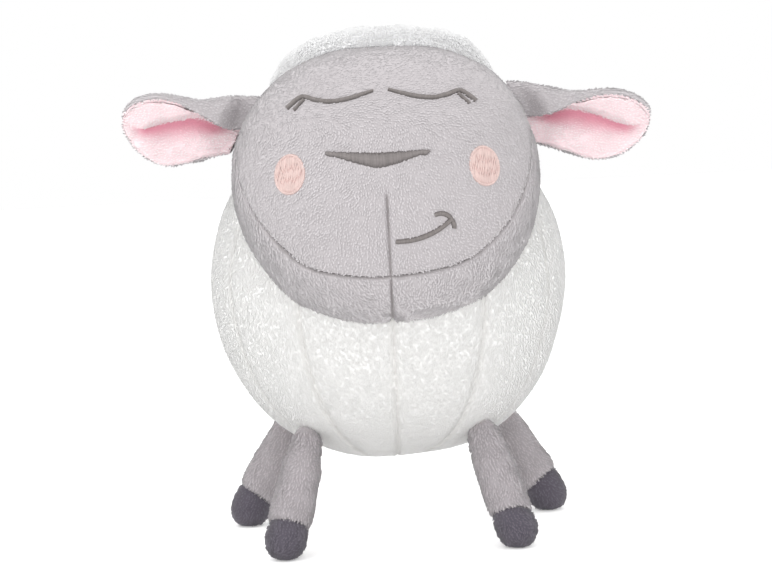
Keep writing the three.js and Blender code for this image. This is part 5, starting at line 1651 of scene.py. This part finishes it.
def hem_surface(radius):
    """The depth at which the ball's surface crosses a radius about the unit's axis."""
    return BALL_MIDDLE[1] + math.sqrt(BALL_RADIUS**2 - radius**2)


hem_middle = POCKET_RADIUS + HEM_WIDTH / 2


def hem_point(turn):
    """A point of the binding's rounded section, as a radius and a depth."""
    cosine = math.cos(turn)
    radius = hem_middle - HEM_WIDTH / 2 * 0.96 * math.copysign(abs(cosine) ** 0.7, cosine)
    depth = hem_surface(hem_middle - HEM_WIDTH / 2 * cosine) - HEM_DROP + HEM_HALF_DEPTH * math.sin(turn)
    return radius, depth


hem_profile = [hem_point(turn) for turn in np.linspace(0, 2 * math.pi, 20, endpoint=False)]
opening_hem = closed_ring("opening_hem_ring", turned_rows(hem_profile, gathers))
opening_hem.data.materials.append(BINDING)
shade_smooth(opening_hem)


def hem_stitches():
    """Running stitches on the binding, near its outer edge."""
    radius = POCKET_RADIUS + HEM_WIDTH * 0.62
    routes = []
    for number in range(HEM_STITCHES):
        angles = (number + np.linspace(0.12, 0.82, STITCH_POINTS)) / HEM_STITCHES * 2 * math.pi
        depth = hem_surface(radius) - HEM_DROP + HEM_HALF_DEPTH * 0.97 + STITCH_WAVE
        spots = np.stack([radius * np.cos(angles), depth, radius * np.sin(angles)], axis=1)
        routes.append(spots + (BALL_MIDDLE[0], 0, BALL_MIDDLE[2]))
    return routes


hem_thread = embroider("hem_thread", hem_stitches(), BINDING_THREAD, 0.28, 97)
join(opening_hem, hem_thread)

# %% Pocket liner and the ball's wadding
BALL_INSET = 4.2  # of the wadding under the ball's surface
BORE_GAP = 2.2  # between the wadding and the pocket
BORE_DROP = 1.5
BORE_END = 2.5  # under the pocket's bottom


def slack_knit(angles, number):
    """The knitted cup hangs in faint folds, away from the unit."""
    return 0.12 + 0.12 * np.sin(17 * angles + 0.4 * number) * np.sin(5 * angles + 2)


def pocket_profile(radius, bottom, rear):
    """From the middle of the bottom, round a soft corner and back up the wall."""
    corner = LINER_CORNER
    turn_in = [
        (radius - corner + corner * math.sin(a), bottom + corner - corner * math.cos(a))
        for a in np.radians([10, 30, 50, 70, 88])
    ]
    floor_part = [(radius * share, bottom) for share in (0.03, 0.2, 0.4, 0.6, 0.8)]
    return floor_part + turn_in + [(radius, depth) for depth in np.linspace(bottom + corner + 2, rear, 14)]


inner = pocket_profile(POCKET_RADIUS, POCKET_BOTTOM, POCKET_REAR)
outer = pocket_profile(POCKET_RADIUS + LINER_WALL, POCKET_BOTTOM - LINER_WALL, POCKET_REAR)
pocket_liner = grid_object("knitted_pocket_cup", turned_rows([*inner, *outer[::-1]], slack_knit, around=128))
pocket_liner.data.materials.append(LINER_KNIT)
shade_smooth(pocket_liner)

filling_radius = BALL_RADIUS - BALL_INSET
filling = [
    (filling_radius * math.sin(a), BALL_MIDDLE[1] - filling_radius * math.cos(a))
    for a in np.radians(np.arange(3, 145, 3))
]
bore = [(radius + BORE_GAP, max(depth - BORE_DROP, POCKET_BOTTOM - BORE_END)) for radius, depth in outer[::-1]]
filled = turned_rows([*filling, *bore[1:-1], (0.6, bore[-1][1])], lambda angles, number: 0, around=96)
body_wadding = lump("body_fibrefill", filled)
print("pocket:", len(pocket_liner.data.polygons), "faces, hem:", len(opening_hem.data.polygons), "faces")

# %% [markdown]
# ## Hard pieces
# The light unit keeps the frame's exact solids. Each gets the finish of what it is made from: injection moulded
# ABS with a spark-eroded texture, silicone rubber, a milky diffuser, plated steel, and so on. Moulded edges are
# never sharp, so the finishes round every edge's shading by a fraction of a millimetre.

# %% Hard finishes


EDGE_ROUNDING = 0.25
PATCH_OF_WEAR = 12.0


def hard_finish(name, colour, worn, grain, depth, rounding=EDGE_ROUNDING, **values):
    """A hard surface: two close shades in broad patches, a fine grain, and edges that catch the light."""
    made, tree, shader = start_material(name, **values)
    place = add(tree, "ShaderNodeTexCoord").outputs["Object"]
    wear = {"Vector": place, "Scale": 1 / (PATCH_OF_WEAR * MM), "Detail": 3.0}
    patch = add(tree, "ShaderNodeTexNoise", wear).outputs["Fac"]
    ramp = add(tree, "ShaderNodeMix", {0: patch, 6: linear(colour), 7: linear(worn)}, data_type="RGBA")
    tree.links.new(ramp.outputs[2], shader.inputs["Base Color"])
    fine = add(tree, "ShaderNodeTexNoise", {"Vector": place, "Scale": 1 / (grain * MM), "Detail": 2.0})
    edge = add(tree, "ShaderNodeBevel", {"Radius": rounding * MM}, samples=4)
    relief = {"Height": fine.outputs["Fac"], "Strength": 0.5, "Distance": depth * MM, "Normal": edge}
    tree.links.new(add(tree, "ShaderNodeBump", relief).outputs[0], shader.inputs["Normal"])
    rough = shader.inputs["Roughness"].default_value
    mist = add(tree, "ShaderNodeMapRange", {0: patch, 3: rough - 0.05, 4: rough + 0.07})
    tree.links.new(mist.outputs[0], shader.inputs["Roughness"])
    return made


# Spark-eroded moulds leave a fine even grain on ABS. It is drawn at 0.35 mm, a little coarser than it is.
ABS = {"grain": 0.35, "depth": 0.05, "Roughness": 0.5, "IOR": 1.53}
WHITE_ABS = hard_finish("spark_textured_white_abs", "#e6e4df", "#e2dfd9", **ABS)
GREY_ABS = hard_finish("spark_textured_grey_abs", "#b9b4b8", "#b1acb0", **ABS)
# Silicone rubber is moulded matt and soaks up a little light.
SOAKING = {"Subsurface_Weight": 0.2, "Subsurface_Scale": 2 * MM}
SILICONE = hard_finish(
    "moulded_pink_silicone", "#eebbbd", "#e9b2b5", 0.5, 0.03, Roughness=0.6, IOR=1.41, **SOAKING
)
# The dome is polypropylene moulded thin and milky, with a satin outside.
MILKY = {"Subsurface_Weight": 0.5, "Subsurface_Scale": 6 * MM}
DIFFUSER = hard_finish("milky_diffuser", "#f6f4ec", "#f2efe6", 0.6, 0.02, Roughness=0.38, IOR=1.49, **MILKY)
# Green lacquer over glass fibre lies smooth and glossy. An LED's lens is clear epoxy, so light goes through.
BOARD = hard_finish(
    "solder_masked_board", "#2f6b45", "#2a6340", 0.8, 0.05, Roughness=0.35, IOR=1.55, Coat_Weight=0.3
)
LENS = hard_finish(
    "clear_led_lens", "#fff3d0", "#fdeec6", 1.5, 0.01, Roughness=0.08, IOR=1.5, Transmission_Weight=0.75
)
BLACK_PLASTIC = hard_finish("moulded_black_nylon", "#262628", "#2c2c2f", 0.4, 0.04, Roughness=0.5, IOR=1.53)
# A cell's printed film is shrunk on, so it is glossy with faint long waves.
JACKET = hard_finish(
    "shrunk_foil_jacket", "#4f7f9a", "#4a7892", 2.5, 0.02, Roughness=0.28, IOR=1.5, Coat_Weight=0.4
)
# Plated steel: nickel on the springs and contacts, bright zinc on the screws.
NICKEL = hard_finish("nickel_plated_steel", "#c8c8ca", "#bcbcc0", 0.3, 0.02, 0.1, Roughness=0.25, Metallic=1.0)
ZINC = hard_finish("zinc_plated_steel", "#b8b9be", "#a9aab2", 0.5, 0.03, 0.12, Roughness=0.33, Metallic=1.0)
# Extruded PVC is smooth and a little glossy.
PVC = {"grain": 1.0, "depth": 0.02, "rounding": 0.1, "Roughness": 0.4, "IOR": 1.53}
RED_LEAD = hard_finish("red_pvc_insulation", "#b02a2a", "#a62626", **PVC)
BLACK_LEAD = hard_finish("black_pvc_insulation", "#222224", "#28282a", **PVC)

HARD_FINISHES = {
    "white_abs": WHITE_ABS,
    "grey_abs": GREY_ABS,
    "pink_rubber": SILICONE,
    "diffuser": DIFFUSER,
    "board_green": BOARD,
    "led_lens": LENS,
    "black_plastic": BLACK_PLASTIC,
    "cell_jacket": JACKET,
    "spring_steel": NICKEL,
    "zinc_steel": ZINC,
    "red_lead": RED_LEAD,
    "black_lead": BLACK_LEAD,
}

# %% Smooth moulded pieces
SHELL_RADIUS = BALL_RADIUS - UNIT_RECESS
SHELL_FACETS = 32  # of the frame's ball, which the cover was cut from
UNIT_BODIES = ("light_unit", "battery_door", "light_button", "mode_switch")
BODY_OF = {node: body for body, members in frame["record"]["behaviour"]["bodies"].items() for node in members}
SHARP_EDGE = math.radians(35)
WELD = 0.002
SKIN_SLACK = 0.05  # how far a corner of the shell may lie off the ball that it stands for


def merged_copy(node):
    """A frame piece's mesh with its loose triangles welded, as a new object."""
    shape = bmesh.new()
    shape.from_mesh(nodes[node].data)
    bmesh.ops.remove_doubles(shape, verts=shape.verts, dist=WELD * MM)
    mesh = bpy.data.meshes.new(node + "_smooth")
    shape.to_mesh(mesh)
    shape.free()
    return new_object(node + "_smooth", mesh)


def round_the_skin(shape):
    """Refines a shell's facets and moves them back onto the ball that they stand for, along the unit's axis."""
    sag = 2 * SHELL_RADIUS * (1 - math.cos(math.pi / SHELL_FACETS))
    skin = shape.faces.layers.int.new("skin")
    middle = Vector(BALL_MIDDLE * MM)
    nearest, farthest = SHELL_RADIUS - sag - SKIN_SLACK, SHELL_RADIUS + SKIN_SLACK
    for face in shape.faces:
        spots = [vert.co - middle for vert in face.verts]
        on_ball = all(nearest < spot.length / MM < farthest for spot in spots)
        face[skin] = int(on_ball and face.normal.dot(spots[0].normalized()) > 0.97)
    for _ in range(2):
        bmesh.ops.subdivide_edges(shape, edges=shape.edges, cuts=1, use_grid_fill=True)
    for vert in shape.verts:
        if any(face[skin] for face in vert.link_faces):
            spot = (vert.co - middle) / MM
            vert.co.y = middle.y + math.sqrt(SHELL_RADIUS**2 - spot.x**2 - spot.z**2) * MM


smooth_pieces = {}
for node, body in BODY_OF.items():
    slot_name = nodes[node].data.materials[0].name
    if body not in UNIT_BODIES or slot_name not in HARD_FINISHES:
        continue
    piece = merged_copy(node)
    if node in ("rear_cover", "battery_door"):
        edit_mesh(piece, round_the_skin)
    shade_smooth(piece)
    piece.data.set_sharp_from_angle(angle=SHARP_EDGE)
    piece.data.materials.append(HARD_FINISHES[slot_name])
    smooth_pieces[node] = (piece, slot_name, body)
print("hard pieces:", len(smooth_pieces))

# %% Floor, light and background
FLOOR_SIZE = 6.0
FLOOR_GLOW = 0.3
WORLD_LEVEL = 1.15


def seen_directly(tree):
    """1 where the camera, a gloss or clear plastic shows a surface, and 0 where it only lights others."""
    path_of = add(tree, "ShaderNodeLightPath").outputs
    camera_or_gloss = {0: path_of["Is Camera Ray"], 1: path_of["Is Glossy Ray"]}
    seen = add(tree, "ShaderNodeMath", camera_or_gloss, operation="MAXIMUM")
    or_clear = {0: seen, 1: path_of["Is Transmission Ray"]}
    return add(tree, "ShaderNodeMath", or_clear, operation="MAXIMUM").outputs[0]


def floor():
    """A pale matt floor. A little light of its own, for the camera only, takes it to white round the shadow."""
    made, tree, shader = start_material("pale_floor", Roughness=0.9, Specular_IOR_Level=0.1)
    shader.inputs["Base Color"].default_value = linear("#f9f9f9")
    shader.inputs["Emission Color"].default_value = linear("#ffffff")
    glow = add(tree, "ShaderNodeMath", {0: seen_directly(tree), 1: FLOOR_GLOW}, operation="MULTIPLY")
    tree.links.new(glow.outputs[0], shader.inputs["Emission Strength"])
    mesh = bpy.data.meshes.new("floor")
    half = FLOOR_SIZE / 2
    corners = [(-half, -half, 0), (half, -half, 0), (half, half, 0), (-half, half, 0)]
    mesh.from_pydata(corners, [], [(0, 1, 2, 3)])
    mesh.materials.append(made)
    new_object("floor", mesh)


def lamp(name, place, size, power):
    data = bpy.data.lights.new(name, "AREA")
    data.size = size
    data.energy = power
    made = new_object(name, data)
    made.location = place
    made.rotation_euler = (Vector(BALL_MIDDLE * MM) - Vector(place)).to_track_quat("-Z", "Y").to_euler()


def studio_world():
    """White all round. The camera sees it at full white, and the toy is lit by it at a plain level."""
    world = bpy.data.worlds.new("studio")
    world.use_nodes = True
    background = world.node_tree.nodes["Background"]
    background.inputs["Color"].default_value = (1, 1, 1, 1)
    level = {0: seen_directly(world.node_tree), 2: WORLD_LEVEL, 3: 1.0}
    strength = add(world.node_tree, "ShaderNodeMix", level, data_type="FLOAT").outputs[0]
    world.node_tree.links.new(strength, background.inputs["Strength"])
    scene.world = world


floor()
lamp("key", (-0.8, -1.0, 1.6), 2.0, 10.5)
lamp("fill", (0.3, -1.8, 0.12), 2.0, 8.0)
lamp("back", (0.3, 1.2, 1.5), 1.6, 3.0)
studio_world()
scene.view_settings.view_transform = "Standard"

# %% [markdown]
# ## What each piece stands for
# Every piece rides on the body that carries it and stands for the frame's solid of the same part, which is
# hidden.

# %% Rides and replacements


def place_piece(piece, body, node):
    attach(piece, body)
    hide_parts(node)


place_piece(ball_cover, "toy", "body_cover")
place_piece(face_cover, "toy", "face_panel")
place_piece(chin_cover, "toy", "chin_panel")
place_piece(wool_cover, "toy", "wool_cap")
place_piece(head_wadding, "toy", "head_wadding")
place_piece(body_wadding, "toy", "body_wadding")
place_piece(opening_hem, "toy", "opening_hem")
place_piece(pocket_liner, "toy", "pocket_liner")
for node, piece in embroidery.items():
    place_piece(piece, "toy", node)
for side_name in ("left", "right"):
    body = "ear_" + side_name
    place_piece(ears[side_name], body, body)
    place_piece(linings[side_name], body, "ear_lining_" + side_name)
for leg_name in LEGS:
    body = "leg_" + leg_name
    place_piece(legs[leg_name], body, body)
    place_piece(hooves[leg_name], body, "hoof_" + leg_name)
for node, (piece, slot_name, body) in smooth_pieces.items():
    place_piece(piece, body, node)
